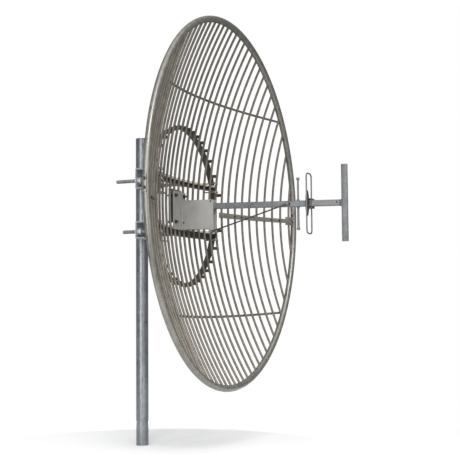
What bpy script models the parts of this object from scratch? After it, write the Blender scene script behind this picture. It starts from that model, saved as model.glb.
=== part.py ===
"""Grid parabolic dish antenna on a short steel mast, with a dipole feed on a boom.

The origin is the middle of the mast's foot. +Z is up, the dish looks along -Y, and +X is to
the right as seen from in front of the dish. Lengths are in metres.
"""

import math

import bmesh
import bpy
from mathutils import Matrix, Vector

# Fit between touching pieces
GAP = 0.0003
WELD = 0.0015

# Mast, a two inch pipe
MAST_RADIUS = 0.03015
MAST_WALL = 0.0029
MAST_HEIGHT = 1.512
MAST_SIDES = 24
CAP_THICKNESS = 0.004

# Where the dish hangs: its hub's height, and how far its rim lies in front of the mast
HUB_HEIGHT = 1.165
RIM_PLANE_Y = -0.475

# Rim tube
RIM_RADIUS = 0.884
RIM_TUBE = 0.016
RIM_STEPS = 30
RIM_START_TURN = math.radians(3.1)

# Bowl and grid rods
BOWL_RADIUS = 0.885
BOWL_DEPTH = 0.2634
BOW = 0.004
ROD_RADIUS = 0.006
ROD_PITCH = 0.0518
ROD_COUNT = 34
ROD_BENDS = 4
EDGE_RODS = 4
STRIP_RODS = (6, 7, 7, 6)

# Cross rods behind the grid
CROSS_RADIUS = 0.006
CROSS_END_HEIGHT = 0.511
CROSS_BULGE = 0.028
CROSS_REACH = 0.702

# Hub frame, which ties hold at a distance behind the rods
HUB_STANDOFF = 0.019
HOOP_RADIUS = 0.385
HOOP_DEPTH = 0.032
HOOP_THICKNESS = 0.006
HOOP_STEPS = 40
HOOP_TIE = 0.015
HOOP_TIE_GRIP = 0.010
SIDE_TIE_UP = 0.092
BAR_HEIGHT = 0.124
UPPER_BAR_TALL = 0.022
LOWER_BAR_TALL = 0.036
BAR_TIE = 0.010
BAR_TIE_GRIP = 0.006
BAR_DEEP = 0.024
BAR_THICKNESS = 0.004
BAR_STEPS = 14

# Struts along the middle of the bowl, and the plates that splice the rim
STRUT_TALL = 0.024
STRUT_THICKNESS = 0.005
STRUT_STEPS = 8
STRUT_OVERLAP = 0.028
STRUT_DROP = 0.0135
LUG_TALL = 0.044
LUG_THICKNESS = 0.005
LUG_LENGTH = 0.040
SPLICE_LENGTH = 0.075
SPLICE_THICKNESS = 0.005
SPLICE_WIDTH = 0.018
BOLT_SPACING = 0.038
BOLT_HEAD_RADIUS = 0.0085
BOLT_HEAD_TALL = 0.006

# Mast clamps
CHANNEL_HALF_LENGTH = 0.130
CHANNEL_DEPTH = 0.048
CHANNEL_WALL = 0.006
UPPER_CHANNEL_TALL = 0.100
LOWER_CHANNEL_TALL = 0.084
UPPER_CLAMP_UP = 0.134
LOWER_CLAMP_UP = -0.118
CLAMP_HEIGHT = 0.125
STUD_SPACING = 0.108
STUD_RADIUS = 0.009
STUD_SIDES = 12
UPPER_STUD_TAIL = 0.083
LOWER_STUD_TAIL = 0.047
NUT_RADIUS = 0.0165
NUT_THICKNESS = 0.015
UBOLT_RADIUS = 0.005
UBOLT_STEPS = 12

# Feed bracket
FEED_DROP = 0.013
FLANGE_LEFT = -0.112
FLANGE_RIGHT = 0.022
FLANGE_TALL = 0.186
FLANGE_DROP = 0.026
FLANGE_SEAT_ROD = 15
FLANGE_THICKNESS = 0.005
BACK_PLATE_TALL = 0.160
CHEEK_TALL = 0.143
CHEEK_LENGTH = 0.166
CHEEK_THICKNESS = 0.003
CHEEK_INSIDE = 0.0143
CHEEK_TOP = 0.018
EAR_BOTTOM = -0.150
EAR_WIDTH = 0.022

# Boom, which droops towards its tip by a small angle in radians
BOOM_SIDE = 0.028
BOOM_WALL = 0.002
BOOM_INSET = 0.008
BOOM_REACH = 0.559
BOOM_DROOP = 0.024
DROOP_AHEAD = 0.162

# Feed elements, placed by their distance in front of the rim plane
FEED_SIDES = 10
DIRECTOR_AHEAD = 0.351
DIRECTOR_LENGTH = 0.246
DIRECTOR_RADIUS = 0.0045
DIRECTOR_LOWER_RADIUS = 0.0055
DIRECTOR_CAP_RADIUS = 0.008
COLLAR_TALL = 0.008
CAP_TALL = 0.012
CAP_PROUD = 0.002
DIPOLE_AHEAD = 0.405
DIPOLE_LENGTH = 0.290
DIPOLE_WIDTH = 0.070
DIPOLE_RADIUS = 0.0035
DIPOLE_CORNER = 0.020
DIPOLE_CORNER_STEPS = 4
CLAMP_AHEAD = 0.409
CLAMP_DEEP = 0.027
COLLAR_WALL = 0.004
CLAMP_TALL = 0.046
INSULATOR_TALL = 0.120
INSULATOR_DEEP = 0.014
INSULATOR_END = 0.005
INSULATOR_FLAT = 0.5
REFLECTOR_AHEAD = 0.580
REFLECTOR_LENGTH = 0.360
REFLECTOR_DEEP = 0.029
REFLECTOR_THICKNESS = 0.013
TONGUE_TALL = 0.026
STAY_AHEAD = 0.307
STAY_RADIUS = 0.0035
STAY_EYE_RADIUS = 0.009

SMOOTH_ANGLE = math.radians(40)


def clear_scene():
    """Remove whatever the scene holds."""
    for leftover in list(bpy.data.objects):
        bpy.data.objects.remove(leftover, do_unlink=True)


def material(name, colour, roughness, metallic):
    """A plain Principled material."""
    made = bpy.data.materials.new(name)
    made.use_nodes = True
    shader = made.node_tree.nodes["Principled BSDF"]
    shader.inputs["Base Color"].default_value = (*colour, 1.0)
    shader.inputs["Roughness"].default_value = roughness
    shader.inputs["Metallic"].default_value = metallic
    return made


def new_object(name, mesh, look):
    """Put a mesh in the scene as a named sub-part with one material."""
    made = bpy.data.objects.new(name, mesh)
    bpy.context.scene.collection.objects.link(made)
    mesh.materials.clear()
    mesh.materials.append(look)
    mesh.shade_smooth()
    mesh.set_sharp_from_angle(angle=SMOOTH_ANGLE)
    return made


def mesh_of(bm, name):
    """Close a bmesh into a mesh with its faces pointing out."""
    bmesh.ops.remove_doubles(bm, verts=bm.verts, dist=1e-6)
    bmesh.ops.recalc_face_normals(bm, faces=bm.faces)
    mesh = bpy.data.meshes.new(name)
    bm.to_mesh(mesh)
    bm.free()
    return mesh


def joined(meshes, name):
    """Put several meshes side by side in one mesh."""
    bm = bmesh.new()
    for mesh in meshes:
        bm.from_mesh(mesh)
    return mesh_of(bm, name)


def combined(base, tool, operation):
    """The union or difference of two meshes, with exact intersections."""
    base_object = bpy.data.objects.new("base", base)
    tool_object = bpy.data.objects.new("tool", tool)
    bpy.context.scene.collection.objects.link(base_object)
    bpy.context.scene.collection.objects.link(tool_object)
    step = base_object.modifiers.new("step", "BOOLEAN")
    step.operation = operation
    step.solver = "EXACT"
    step.object = tool_object
    bpy.context.view_layer.update()
    graph = bpy.context.evaluated_depsgraph_get()
    result = bpy.data.meshes.new_from_object(base_object.evaluated_get(graph))
    bpy.data.objects.remove(base_object, do_unlink=True)
    bpy.data.objects.remove(tool_object, do_unlink=True)
    return result


def union(base, tool):
    return combined(base, tool, "UNION")


def cut(base, tool):
    return combined(base, tool, "DIFFERENCE")


def box(low, high):
    """A box between two corners."""
    bm = bmesh.new()
    low = Vector(low)
    high = Vector(high)
    place = Matrix.Translation((low + high) / 2) @ Matrix.Diagonal((*(high - low), 1.0))
    bmesh.ops.create_cube(bm, size=1.0, matrix=place)
    return mesh_of(bm, "box")


def cylinder(start, end, radius, sides):
    """A closed cylinder, or a prism of few sides, between two points."""
    start = Vector(start)
    axis = Vector(end) - start
    place = Matrix.Translation(start + axis / 2) @ axis.to_track_quat("Z", "Y").to_matrix().to_4x4()
    bm = bmesh.new()
    bmesh.ops.create_cone(
        bm, cap_ends=True, segments=sides, radius1=radius, radius2=radius, depth=axis.length, matrix=place
    )
    return mesh_of(bm, "cylinder")


def swept_rod(points, radius, resolution, closed=False):
    """A round bar along points. The resolution 1 gives 6 sides, and each step adds 2."""
    curve = bpy.data.curves.new("rod", "CURVE")
    curve.dimensions = "3D"
    curve.bevel_depth = radius
    curve.bevel_resolution = resolution
    curve.use_fill_caps = not closed
    spline = curve.splines.new("POLY")
    spline.points.add(len(points) - 1)
    for point, place in zip(spline.points, points):
        point.co = (*place, 1.0)
    spline.use_cyclic_u = closed
    holder = bpy.data.objects.new("rod", curve)
    bpy.context.scene.collection.objects.link(holder)
    bpy.context.view_layer.update()
    graph = bpy.context.evaluated_depsgraph_get()
    mesh = bpy.data.meshes.new_from_object(holder.evaluated_get(graph))
    bpy.data.objects.remove(holder, do_unlink=True)
    bm = bmesh.new()
    bm.from_mesh(mesh)
    return mesh_of(bm, "rod")


def spread(first, last, steps):
    """Evenly spaced values from first to last."""
    return [first + (last - first) * step / steps for step in range(steps + 1)]


def stretched(profile, stations, height, bend):
    """Carry an outline of (forward, up) corners along X, and bend it in plan by bend(x)."""
    bm = bmesh.new()
    corners = [bm.verts.new((stations[0], forward, up)) for forward, up in profile]
    face = bm.faces.new(corners)
    for left, right in zip(stations, stations[1:]):
        grown = bmesh.ops.extrude_face_region(bm, geom=[face, *face.edges])
        face = next(item for item in grown["geom"] if isinstance(item, bmesh.types.BMFace))
        moved = [item for item in grown["geom"] if isinstance(item, bmesh.types.BMVert)]
        bmesh.ops.translate(bm, verts=moved, vec=(right - left, 0, 0))
    for vert in bm.verts:
        vert.co.y += bend(vert.co.x)
        vert.co.z += height
    return mesh_of(bm, "bar")


def bow(x, up):
    """How far the dish is bent back at a place: its top and bottom go back, its sides forward."""
    return BOW * (up * up - x * x) / RIM_RADIUS**2


def bowl_y(x, up):
    """The bowl's depth behind the rim plane at a place x across and up from the hub."""
    return BOWL_DEPTH * (1 - (x * x + up * up) / BOWL_RADIUS**2) + bow(x, up)


def bowl_normal(x, up):
    """The outward normal of the bowl, which points back to the mast."""
    slope = 2 * BOWL_DEPTH / BOWL_RADIUS**2
    return Vector((slope * x, 1.0, slope * up)).normalized()


def rod_reach(x, up):
    """How far a six-sided rod, and the fit on it, reach from its middle to a face along the bowl."""
    slope = 2 * BOWL_DEPTH / BOWL_RADIUS**2
    turned = math.atan(slope * abs(x))
    raised = math.atan(slope * abs(up))
    half = ROD_RADIUS * math.cos(math.pi / 6 - turned) + GAP
    return half / (math.cos(turned) * math.cos(raised))


def before_rods(x, up):
    """The depth of a face that rests on the open side of the grid rods."""
    return rod_depth(x, up) - rod_reach(x, up)


def behind_rods(x, up):
    """The depth of a face that rests on the mast's side of the grid rods."""
    return rod_depth(x, up) + rod_reach(x, up)


def back_of_rod(x, up):
    """The depth of an upright face that touches a grid rod's back at a height, with the fit."""
    raised = math.atan(2 * BOWL_DEPTH / BOWL_RADIUS**2 * abs(up))
    return rod_depth(x, up) + ROD_RADIUS * math.cos(math.pi / 6) / math.cos(raised) + GAP


def on_dish(x, behind, up):
    """A place given from the hub's axis and the rim plane, in the part's own frame."""
    return Vector((x, RIM_PLANE_Y + behind, HUB_HEIGHT + up))


def rod_x(index):
    """The place across the dish of a grid rod, counted from the left."""
    return (index - (ROD_COUNT - 1) / 2) * ROD_PITCH


def rod_half_height(x):
    """How far a rod reaches up and down before it meets the inside of the rim."""
    inside = RIM_RADIUS - RIM_TUBE - 2 * GAP
    return math.sqrt(inside**2 - (abs(x) + ROD_RADIUS) ** 2)


def cross_up(x):
    """The height of the upper cross rod, which bulges away from the hub in the middle."""
    reach = math.sqrt(RIM_RADIUS**2 - CROSS_END_HEIGHT**2)
    return CROSS_END_HEIGHT + CROSS_BULGE * (1 - (x / reach) ** 2)


def rod_heights(x):
    """The heights at which a grid rod bends, from its lower end to its upper one."""
    reach = rod_half_height(x)
    crossing = cross_up(x)
    step = crossing / ROD_BENDS
    upper = [step * bend for bend in range(1, ROD_BENDS + 1) if step * bend < reach - step / 4]
    if reach > crossing + ROD_RADIUS:
        upper += spread(crossing, reach, math.ceil((reach - crossing) / step))[1:]
    else:
        upper.append(reach)
    return [-up for up in reversed(upper)] + [0.0] + upper


def rod_depth(x, up):
    """The depth of a grid rod's middle at a height, on the straight run between two bends."""
    heights = rod_heights(x)
    for low, high in zip(heights, heights[1:]):
        if low <= up <= high:
            share = (up - low) / (high - low)
            return bowl_y(x, low) * (1 - share) + bowl_y(x, high) * share
    return bowl_y(x, up)


def grid_rod(x):
    """One upright rod of the grid, bent to the bowl."""
    points = [on_dish(x, bowl_y(x, up), up) for up in rod_heights(x)]
    return swept_rod(points, ROD_RADIUS, 1)


def cross_rod(left, right, steps, side):
    """A stretch of a cross rod, which lies behind the grid rods and is welded to each."""
    sunk = ROD_RADIUS + CROSS_RADIUS - WELD
    points = []
    for x in spread(left, right, steps):
        up = side * cross_up(x)
        behind = bowl_normal(x, up) * sunk
        points.append(on_dish(x, bowl_y(x, up), up) + behind)
    return swept_rod(points, CROSS_RADIUS, 1)


def frame_colours():
    """The looks that the sub-parts share."""
    return {
        "galvanised": material("galvanised_steel", (0.36, 0.38, 0.40), 0.42, 0.85),
        "zinc_fittings": material("zinc_fittings", (0.50, 0.52, 0.54), 0.35, 0.9),
        "painted_frame": material("painted_frame", (0.34, 0.32, 0.28), 0.55, 0.2),
        "grid_rods": material("grid_rods", (0.30, 0.28, 0.25), 0.55, 0.2),
        "bracket": material("bracket_plate", (0.42, 0.42, 0.42), 0.5, 0.3),
        "feed_metal": material("feed_aluminium", (0.36, 0.37, 0.38), 0.45, 0.6),
        "black_plastic": material("black_plastic", (0.03, 0.03, 0.035), 0.5, 0.0),
        "clamp_plastic": material("clamp_plastic", (0.14, 0.12, 0.10), 0.6, 0.0),
        "dark_steel": material("dark_steel", (0.08, 0.075, 0.07), 0.5, 0.6),
    }


def build_mast(looks):
    """The steel pipe with a foot plug flush with its lower end and a cap on top."""
    outer = cylinder((0, 0, 0), (0, 0, MAST_HEIGHT), MAST_RADIUS, MAST_SIDES)
    bore_radius = MAST_RADIUS - MAST_WALL
    bore = cylinder((0, 0, -MAST_WALL), (0, 0, MAST_HEIGHT + MAST_WALL), bore_radius, MAST_SIDES)
    new_object("mast_pipe", cut(outer, bore), looks["galvanised"])
    plug_radius = bore_radius * math.cos(math.pi / MAST_SIDES) - GAP
    plug = cylinder((0, 0, 0), (0, 0, 3 * CAP_THICKNESS), plug_radius, MAST_SIDES)
    new_object("mast_foot_plug", plug, looks["galvanised"])
    cap_base = MAST_HEIGHT + GAP
    disc = cylinder((0, 0, cap_base), (0, 0, cap_base + CAP_THICKNESS), MAST_RADIUS, MAST_SIDES)
    spigot_base = MAST_HEIGHT - 3 * CAP_THICKNESS
    spigot = cylinder((0, 0, spigot_base), (0, 0, cap_base + CAP_THICKNESS / 2), plug_radius, MAST_SIDES)
    new_object("mast_top_cap", union(disc, spigot), looks["galvanised"])


def channel_profile(front, deep, tall, wall):
    """A channel's outline in (forward, up), open to the front, with its web at the back."""
    back = front + deep
    half = tall / 2
    return (
        (front, -half),
        (front, -half + wall),
        (back - wall, -half + wall),
        (back - wall, half - wall),
        (front, half - wall),
        (front, half),
        (back, half),
        (back, -half),
    )


def clamp_channel(name, tall, up, look):
    """A channel across the mast, its web on the pipe and its flanges towards the dish."""
    web_back = -MAST_RADIUS - GAP
    profile = channel_profile(web_back - CHANNEL_DEPTH, CHANNEL_DEPTH, tall, CHANNEL_WALL)
    body = stretched(profile, spread(-CHANNEL_HALF_LENGTH, CHANNEL_HALF_LENGTH, 1), HUB_HEIGHT + up, flat)
    leg_x = MAST_RADIUS + GAP + UBOLT_RADIUS
    drills = []
    for x, radius in (
        (-STUD_SPACING, STUD_RADIUS),
        (-leg_x, UBOLT_RADIUS),
        (leg_x, UBOLT_RADIUS),
        (STUD_SPACING, STUD_RADIUS),
    ):
        height = HUB_HEIGHT + (stud_up(up) if abs(x) == STUD_SPACING else up)
        front = (x, web_back - 2 * CHANNEL_WALL, height)
        back = (x, web_back + CHANNEL_WALL, height)
        drills.append(cylinder(front, back, radius + 2 * GAP, STUD_SIDES))
    new_object(name, cut(body, joined(drills, "drills")), look)


def flat(x):
    """No bend in plan."""
    return 0.0


def stud_up(up):
    """The height of the studs, on the same side of the hub as their clamp."""
    return math.copysign(CLAMP_HEIGHT, up)


def build_ubolt(name, up, look):
    """A bolt bent round the back of the mast, with its legs through the channel's web."""
    bend = MAST_RADIUS / math.cos(math.pi / MAST_SIDES) + GAP + UBOLT_RADIUS
    leg_end = -MAST_RADIUS - 5 * CHANNEL_WALL
    height = HUB_HEIGHT + up
    points = [(-bend, leg_end, height), (-bend, leg_end / 2, height)]
    points += [
        (-bend * math.cos(turn), bend * math.sin(turn), height) for turn in spread(0.0, math.pi, UBOLT_STEPS)
    ]
    points += [(bend, leg_end / 2, height), (bend, leg_end, height)]
    new_object(name, swept_rod(points, UBOLT_RADIUS, 2), look)


def build_stud(name, x, up, tail, look):
    """A threaded stud from the hub's bar through the channel, with a nut on each face of its web."""
    height = HUB_HEIGHT + up
    start = RIM_PLANE_Y + bar_front(abs(x) - STUD_RADIUS) + BAR_DEEP + GAP
    web_back = -MAST_RADIUS - GAP
    web_front = web_back - CHANNEL_WALL
    stud = cylinder((x, start, height), (x, tail, height), STUD_RADIUS, STUD_SIDES)
    front_nut = cylinder(
        (x, web_front - GAP - NUT_THICKNESS, height), (x, web_front - GAP, height), NUT_RADIUS, 6
    )
    back_nut = cylinder(
        (x, web_back + GAP, height), (x, web_back + GAP + NUT_THICKNESS / 2, height), NUT_RADIUS, 6
    )
    new_object(name, union(stud, joined([front_nut, back_nut], "nuts")), look)


def build_rim(looks):
    """The rim tube in two half rings, upper and lower, which meet at the splices."""
    for name, side in (("rim_upper", 1), ("rim_lower", -1)):
        places = [(RIM_RADIUS, side * GAP), (RIM_RADIUS, side * RIM_TUBE)]
        for turn in spread(RIM_START_TURN, math.pi - RIM_START_TURN, RIM_STEPS):
            places.append((RIM_RADIUS * math.cos(turn), side * RIM_RADIUS * math.sin(turn)))
        places += [(-RIM_RADIUS, side * RIM_TUBE), (-RIM_RADIUS, side * GAP)]
        points = [on_dish(x, bow(x, up), up) for x, up in places]
        new_object(name, swept_rod(points, RIM_TUBE, 4), looks["painted_frame"])


def splice_inner_face():
    """How far out the inner splice plates reach, just clear of the curving rim."""
    return RIM_RADIUS * math.cos(RIM_START_TURN) - RIM_TUBE - GAP


def build_splices(looks):
    """Plates inside and outside the rim that hold its two halves together."""
    outer_face = RIM_RADIUS + RIM_TUBE + GAP
    inner_face = splice_inner_face()
    for place, side in (("left", -1), ("right", 1)):
        for where, near in (("outer", outer_face), ("inner", inner_face - SPLICE_THICKNESS)):
            ends = sorted((side * near, side * (near + SPLICE_THICKNESS)))
            low = on_dish(ends[0], -BOW - SPLICE_WIDTH / 2, -SPLICE_LENGTH / 2)
            high = on_dish(ends[1], -BOW + SPLICE_WIDTH / 2, SPLICE_LENGTH / 2)
            plate = box(low, high)
            if where == "outer":
                plate = union(plate, splice_bolt_heads(side * (near + SPLICE_THICKNESS), side))
            new_object(f"rim_splice_{where}_{place}", plate, looks["painted_frame"])


def splice_bolt_heads(face, side):
    """The hexagon heads of the two bolts on an outer splice plate."""
    heads = []
    for up in (-BOLT_SPACING / 2, BOLT_SPACING / 2):
        start = on_dish(face - side * WELD, -BOW, up)
        end = on_dish(face + side * BOLT_HEAD_TALL, -BOW, up)
        heads.append(cylinder(start, end, BOLT_HEAD_RADIUS, 6))
    return joined(heads, "heads")


def build_grid(looks):
    """Upright rods bent to the bowl, in strips held together by the two cross rods."""
    first = EDGE_RODS
    for number, count in enumerate(STRIP_RODS):
        members = range(first, first + count)
        rods = joined([grid_rod(rod_x(index)) for index in members], "rods")
        left = rod_x(members[0]) - ROD_PITCH / 2 + GAP / 2
        right = rod_x(members[-1]) + ROD_PITCH / 2 - GAP / 2
        if number == 0:
            left = -CROSS_REACH
        if number == len(STRIP_RODS) - 1:
            right = CROSS_REACH
        crosses = joined([cross_rod(left, right, 2 * count, side) for side in (1, -1)], "crosses")
        new_object(f"grid_strip_{number + 1}", union(rods, crosses), looks["grid_rods"])
        first += count
    for index in range(EDGE_RODS):
        new_object(f"edge_rod_left_{index + 1}", grid_rod(rod_x(index)), looks["grid_rods"])
        mirrored = grid_rod(rod_x(ROD_COUNT - 1 - index))
        new_object(f"edge_rod_right_{index + 1}", mirrored, looks["grid_rods"])


def hoop_front():
    """The depth of the hoop's front edge."""
    return behind_rods(HOOP_RADIUS, 0) + HUB_STANDOFF


def build_hoop(looks):
    """A flat ring on edge behind the grid rods, with a tie forward to each rod that crosses it."""
    inner = HOOP_RADIUS - HOOP_THICKNESS / 2
    ends = [on_dish(0, hoop_front(), 0), on_dish(0, hoop_front() + HOOP_DEPTH, 0)]
    disc = cylinder(ends[0], ends[1], inner + HOOP_THICKNESS, HOOP_STEPS)
    past = Vector((0, HOOP_THICKNESS, 0))
    bore = cylinder(ends[0] - past, ends[1] + past, inner, HOOP_STEPS)
    crossing = [index for index in range(ROD_COUNT) if crosses_hoop(index)]
    ties = [hoop_tie(rod_x(index), side) for index in crossing for side in (1, -1)]
    new_object("hub_hoop", union(cut(disc, bore), joined(ties, "ties")), looks["painted_frame"])


def crosses_hoop(index):
    """Whether a grid rod passes over the hoop."""
    return abs(rod_x(index)) < HOOP_RADIUS + HOOP_TIE / 2


def hoop_tie(x, side):
    """The block that holds a rod to the hoop, above or below the hub."""
    up = math.sqrt(max(HOOP_RADIUS**2 - x * x, SIDE_TIE_UP**2))
    across = min(abs(x), math.sqrt(HOOP_RADIUS**2 - up * up) + HOOP_TIE / 2)
    half = HOOP_TIE / 2
    front = back_of_rod(x, up - half)
    middle = math.copysign(across, x)
    low = on_dish(middle - half, front, side * up - half)
    high = on_dish(middle + half, hoop_front() + HOOP_TIE_GRIP, side * up + half)
    return box(low, high)


def bar_front(x):
    """How far behind the rim plane a hub bar's front edges lie."""
    return behind_rods(x, BAR_HEIGHT - LOWER_BAR_TALL / 2) + HUB_STANDOFF


def build_hub_bars(looks):
    """Two channels across the hoop, bent to the bowl, tied to the rods and carried by the mast studs."""
    inside = (HOOP_RADIUS - HOOP_THICKNESS / 2) * math.cos(math.pi / HOOP_STEPS) - GAP
    reach = math.sqrt(inside**2 - (BAR_HEIGHT + LOWER_BAR_TALL / 2) ** 2)
    for name, side, tall in (("upper_hub_bar", 1, UPPER_BAR_TALL), ("lower_hub_bar", -1, LOWER_BAR_TALL)):
        profile = channel_profile(0.0, BAR_DEEP, tall, BAR_THICKNESS)
        body = stretched(profile, spread(-reach, reach, BAR_STEPS), HUB_HEIGHT + side * BAR_HEIGHT, bar_bend)
        top = side * BAR_HEIGHT + tall / 2
        crossings = [rod_x(index) for index in range(ROD_COUNT) if abs(rod_x(index)) < reach - BAR_TIE]
        ties = [bar_tie(x, top) for x in crossings]
        new_object(name, union(body, joined(ties, "ties")), looks["painted_frame"])


def bar_tie(x, top):
    """The block that holds a rod to a hub bar's top edge."""
    half = BAR_TIE / 2
    heights = (top - half, top + half)
    front = max(back_of_rod(x, up) for up in heights)
    low = on_dish(x - half, front, heights[0])
    high = on_dish(x + half, bar_front(x) + BAR_TIE_GRIP, heights[1])
    return box(low, high)


def bar_bend(x):
    """The hub bars lie on the mast's side of the rods."""
    return RIM_PLANE_Y + bar_front(x)


def strut_bend(x):
    """The struts lie on the open side of the rods."""
    return RIM_PLANE_Y + before_rods(x, STRUT_DROP + STRUT_TALL / 2)


def build_struts(looks):
    """Flat bars across the bowl, from inside the hoop out to the rim's inner splices."""
    half = STRUT_TALL / 2
    height = HUB_HEIGHT - STRUT_DROP
    profile = ((-STRUT_THICKNESS, -half), (-STRUT_THICKNESS, half), (0.0, half), (0.0, -half))
    half_lug = LUG_TALL / 2
    lug_profile = ((-LUG_THICKNESS, -half_lug), (-LUG_THICKNESS, half_lug), (0.0, half_lug), (0.0, -half_lug))
    outer = splice_inner_face() - SPLICE_THICKNESS - GAP
    for place, side in (("left", -1), ("right", 1)):
        inner = HOOP_RADIUS - STRUT_OVERLAP
        bar_ends = sorted((side * inner, side * outer))
        bar = stretched(profile, spread(*bar_ends, STRUT_STEPS), height, strut_bend)
        lug_ends = sorted((side * (outer - LUG_LENGTH), side * outer))
        lug = stretched(lug_profile, spread(*lug_ends, 1), height, lug_bend)
        new_object(f"strut_{place}", union(bar, lug), looks["painted_frame"])


def lug_bend(x):
    """The lug at a strut's outer end sits on the strut's open face."""
    return strut_bend(x) - STRUT_THICKNESS + WELD


def flange_back():
    """The depth of the feed flange's back, whose lower edge rests on the outermost rod behind it."""
    return before_rods(rod_x(FLANGE_SEAT_ROD), -FLANGE_DROP - FLANGE_TALL / 2)


def build_feed_bracket(looks):
    """A plate on the grid with two cheeks that hold the boom, and a plate behind the rods."""
    front = flange_back()
    flange = box(
        on_dish(FLANGE_LEFT, front - FLANGE_THICKNESS, -FLANGE_DROP - FLANGE_TALL / 2),
        on_dish(FLANGE_RIGHT, front, -FLANGE_DROP + FLANGE_TALL / 2),
    )
    cheek_front = front - FLANGE_THICKNESS - CHEEK_LENGTH
    cheeks = []
    for side in (-1, 1):
        faces = sorted((side * CHEEK_INSIDE, side * (CHEEK_INSIDE + CHEEK_THICKNESS)))
        low = on_dish(faces[0], cheek_front, CHEEK_TOP - CHEEK_TALL)
        high = on_dish(faces[1], front - FLANGE_THICKNESS / 2, CHEEK_TOP)
        cheeks.append(box(low, high))
    ear_low = on_dish(-CHEEK_INSIDE - CHEEK_THICKNESS, cheek_front, EAR_BOTTOM)
    ear_high = on_dish(-CHEEK_INSIDE, cheek_front + EAR_WIDTH, CHEEK_TOP - CHEEK_TALL + WELD)
    sides = drooped(union(joined(cheeks, "cheeks"), box(ear_low, ear_high)))
    new_object("feed_bracket", union(flange, sides), looks["bracket"])
    back = behind_rods(ROD_PITCH / 2, 0)
    plate = box(
        on_dish(FLANGE_LEFT, back, -BACK_PLATE_TALL / 2),
        on_dish(FLANGE_RIGHT, back + FLANGE_THICKNESS, BACK_PLATE_TALL / 2),
    )
    new_object("feed_back_plate", plate, looks["bracket"])


def sunk_by(ahead):
    """How far the drooping boom lies below a level one at a distance ahead of the rim plane."""
    return BOOM_DROOP * (ahead - DROOP_AHEAD)


def drooped(mesh):
    """Sink a part of the feed along the drooping boom, so that what is upright stays upright."""
    for vert in mesh.vertices:
        vert.co.z -= sunk_by(RIM_PLANE_Y - vert.co.y)
    return mesh


def build_boom(looks):
    """A square tube from the bracket to the reflector."""
    half = BOOM_SIDE / 2
    bore = half - BOOM_WALL
    back = flange_back() - FLANGE_THICKNESS - BOOM_INSET
    outer = box(on_dish(-half, -BOOM_REACH, -FEED_DROP - half), on_dish(half, back, -FEED_DROP + half))
    hollow = box(
        on_dish(-bore, -BOOM_REACH - BOOM_WALL, -FEED_DROP - bore),
        on_dish(bore, back + BOOM_WALL, -FEED_DROP + bore),
    )
    tube = cut(outer, hollow)
    drill_radius = DIRECTOR_RADIUS + 2 * GAP
    drill = cylinder(
        on_dish(0, -DIRECTOR_AHEAD, -FEED_DROP - BOOM_SIDE),
        on_dish(0, -DIRECTOR_AHEAD, -FEED_DROP + BOOM_SIDE),
        drill_radius,
        FEED_SIDES,
    )
    new_object("feed_boom", drooped(cut(tube, drill)), looks["feed_metal"])


def build_reflector(looks):
    """The flat upright bar past the boom's end, on a tongue that butts on the tube."""
    half = REFLECTOR_LENGTH / 2
    near = -REFLECTOR_AHEAD + REFLECTOR_DEEP / 2
    side = REFLECTOR_THICKNESS / 2
    bar = box(
        on_dish(-side, near - REFLECTOR_DEEP, -FEED_DROP - half),
        on_dish(side, near, -FEED_DROP + half),
    )
    tongue = box(
        on_dish(-side, near - REFLECTOR_DEEP / 2, -FEED_DROP - TONGUE_TALL / 2),
        on_dish(side, -BOOM_REACH - GAP, -FEED_DROP + TONGUE_TALL / 2),
    )
    new_object("reflector_bar", drooped(union(bar, tongue)), looks["feed_metal"])


def build_director(looks):
    """The short upright rod through the boom, with a round cap on each end."""
    half = DIRECTOR_LENGTH / 2
    ahead = -DIRECTOR_AHEAD
    centre = on_dish(0, ahead, -FEED_DROP)
    above = Vector((0, 0, half))
    below = Vector((0, 0, BOOM_SIDE / 2 + COLLAR_TALL / 2))
    rod = cylinder(centre - above, centre + above, DIRECTOR_RADIUS, FEED_SIDES)
    collars = [cylinder(centre - above, centre - below, DIRECTOR_LOWER_RADIUS, FEED_SIDES)]
    for side in (-1, 1):
        seat = on_dish(0, ahead, -FEED_DROP + side * (BOOM_SIDE / 2 + GAP))
        collar_end = seat + Vector((0, 0, side * COLLAR_TALL))
        collars.append(cylinder(seat, collar_end, DIRECTOR_CAP_RADIUS, 6))
        cap_end = on_dish(0, ahead, -FEED_DROP + side * (half + CAP_PROUD))
        cap_start = cap_end - Vector((0, 0, side * CAP_TALL))
        collars.append(cylinder(cap_start, cap_end, DIRECTOR_CAP_RADIUS, FEED_SIDES))
    new_object("director_rod", drooped(union(rod, joined(collars, "collars"))), looks["feed_metal"])


def build_dipole(looks):
    """The folded dipole: one rod bent to a flat upright loop around the boom."""
    half_wide = DIPOLE_WIDTH / 2
    half_tall = DIPOLE_LENGTH / 2 - DIPOLE_RADIUS
    points = []
    for side_x, side_z, start in ((1, 1, 0), (-1, 1, 1), (-1, -1, 2), (1, -1, 3)):
        middle_x = side_x * (half_wide - DIPOLE_CORNER)
        middle_z = side_z * (half_tall - DIPOLE_CORNER)
        for turn in spread(start * math.pi / 2, (start + 1) * math.pi / 2, DIPOLE_CORNER_STEPS):
            x = middle_x + DIPOLE_CORNER * math.cos(turn)
            up = middle_z + DIPOLE_CORNER * math.sin(turn)
            points.append(on_dish(x, -DIPOLE_AHEAD, -FEED_DROP + up))
    loop = swept_rod(points, DIPOLE_RADIUS, 2, closed=True)
    new_object("folded_dipole", drooped(loop), looks["feed_metal"])


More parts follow.
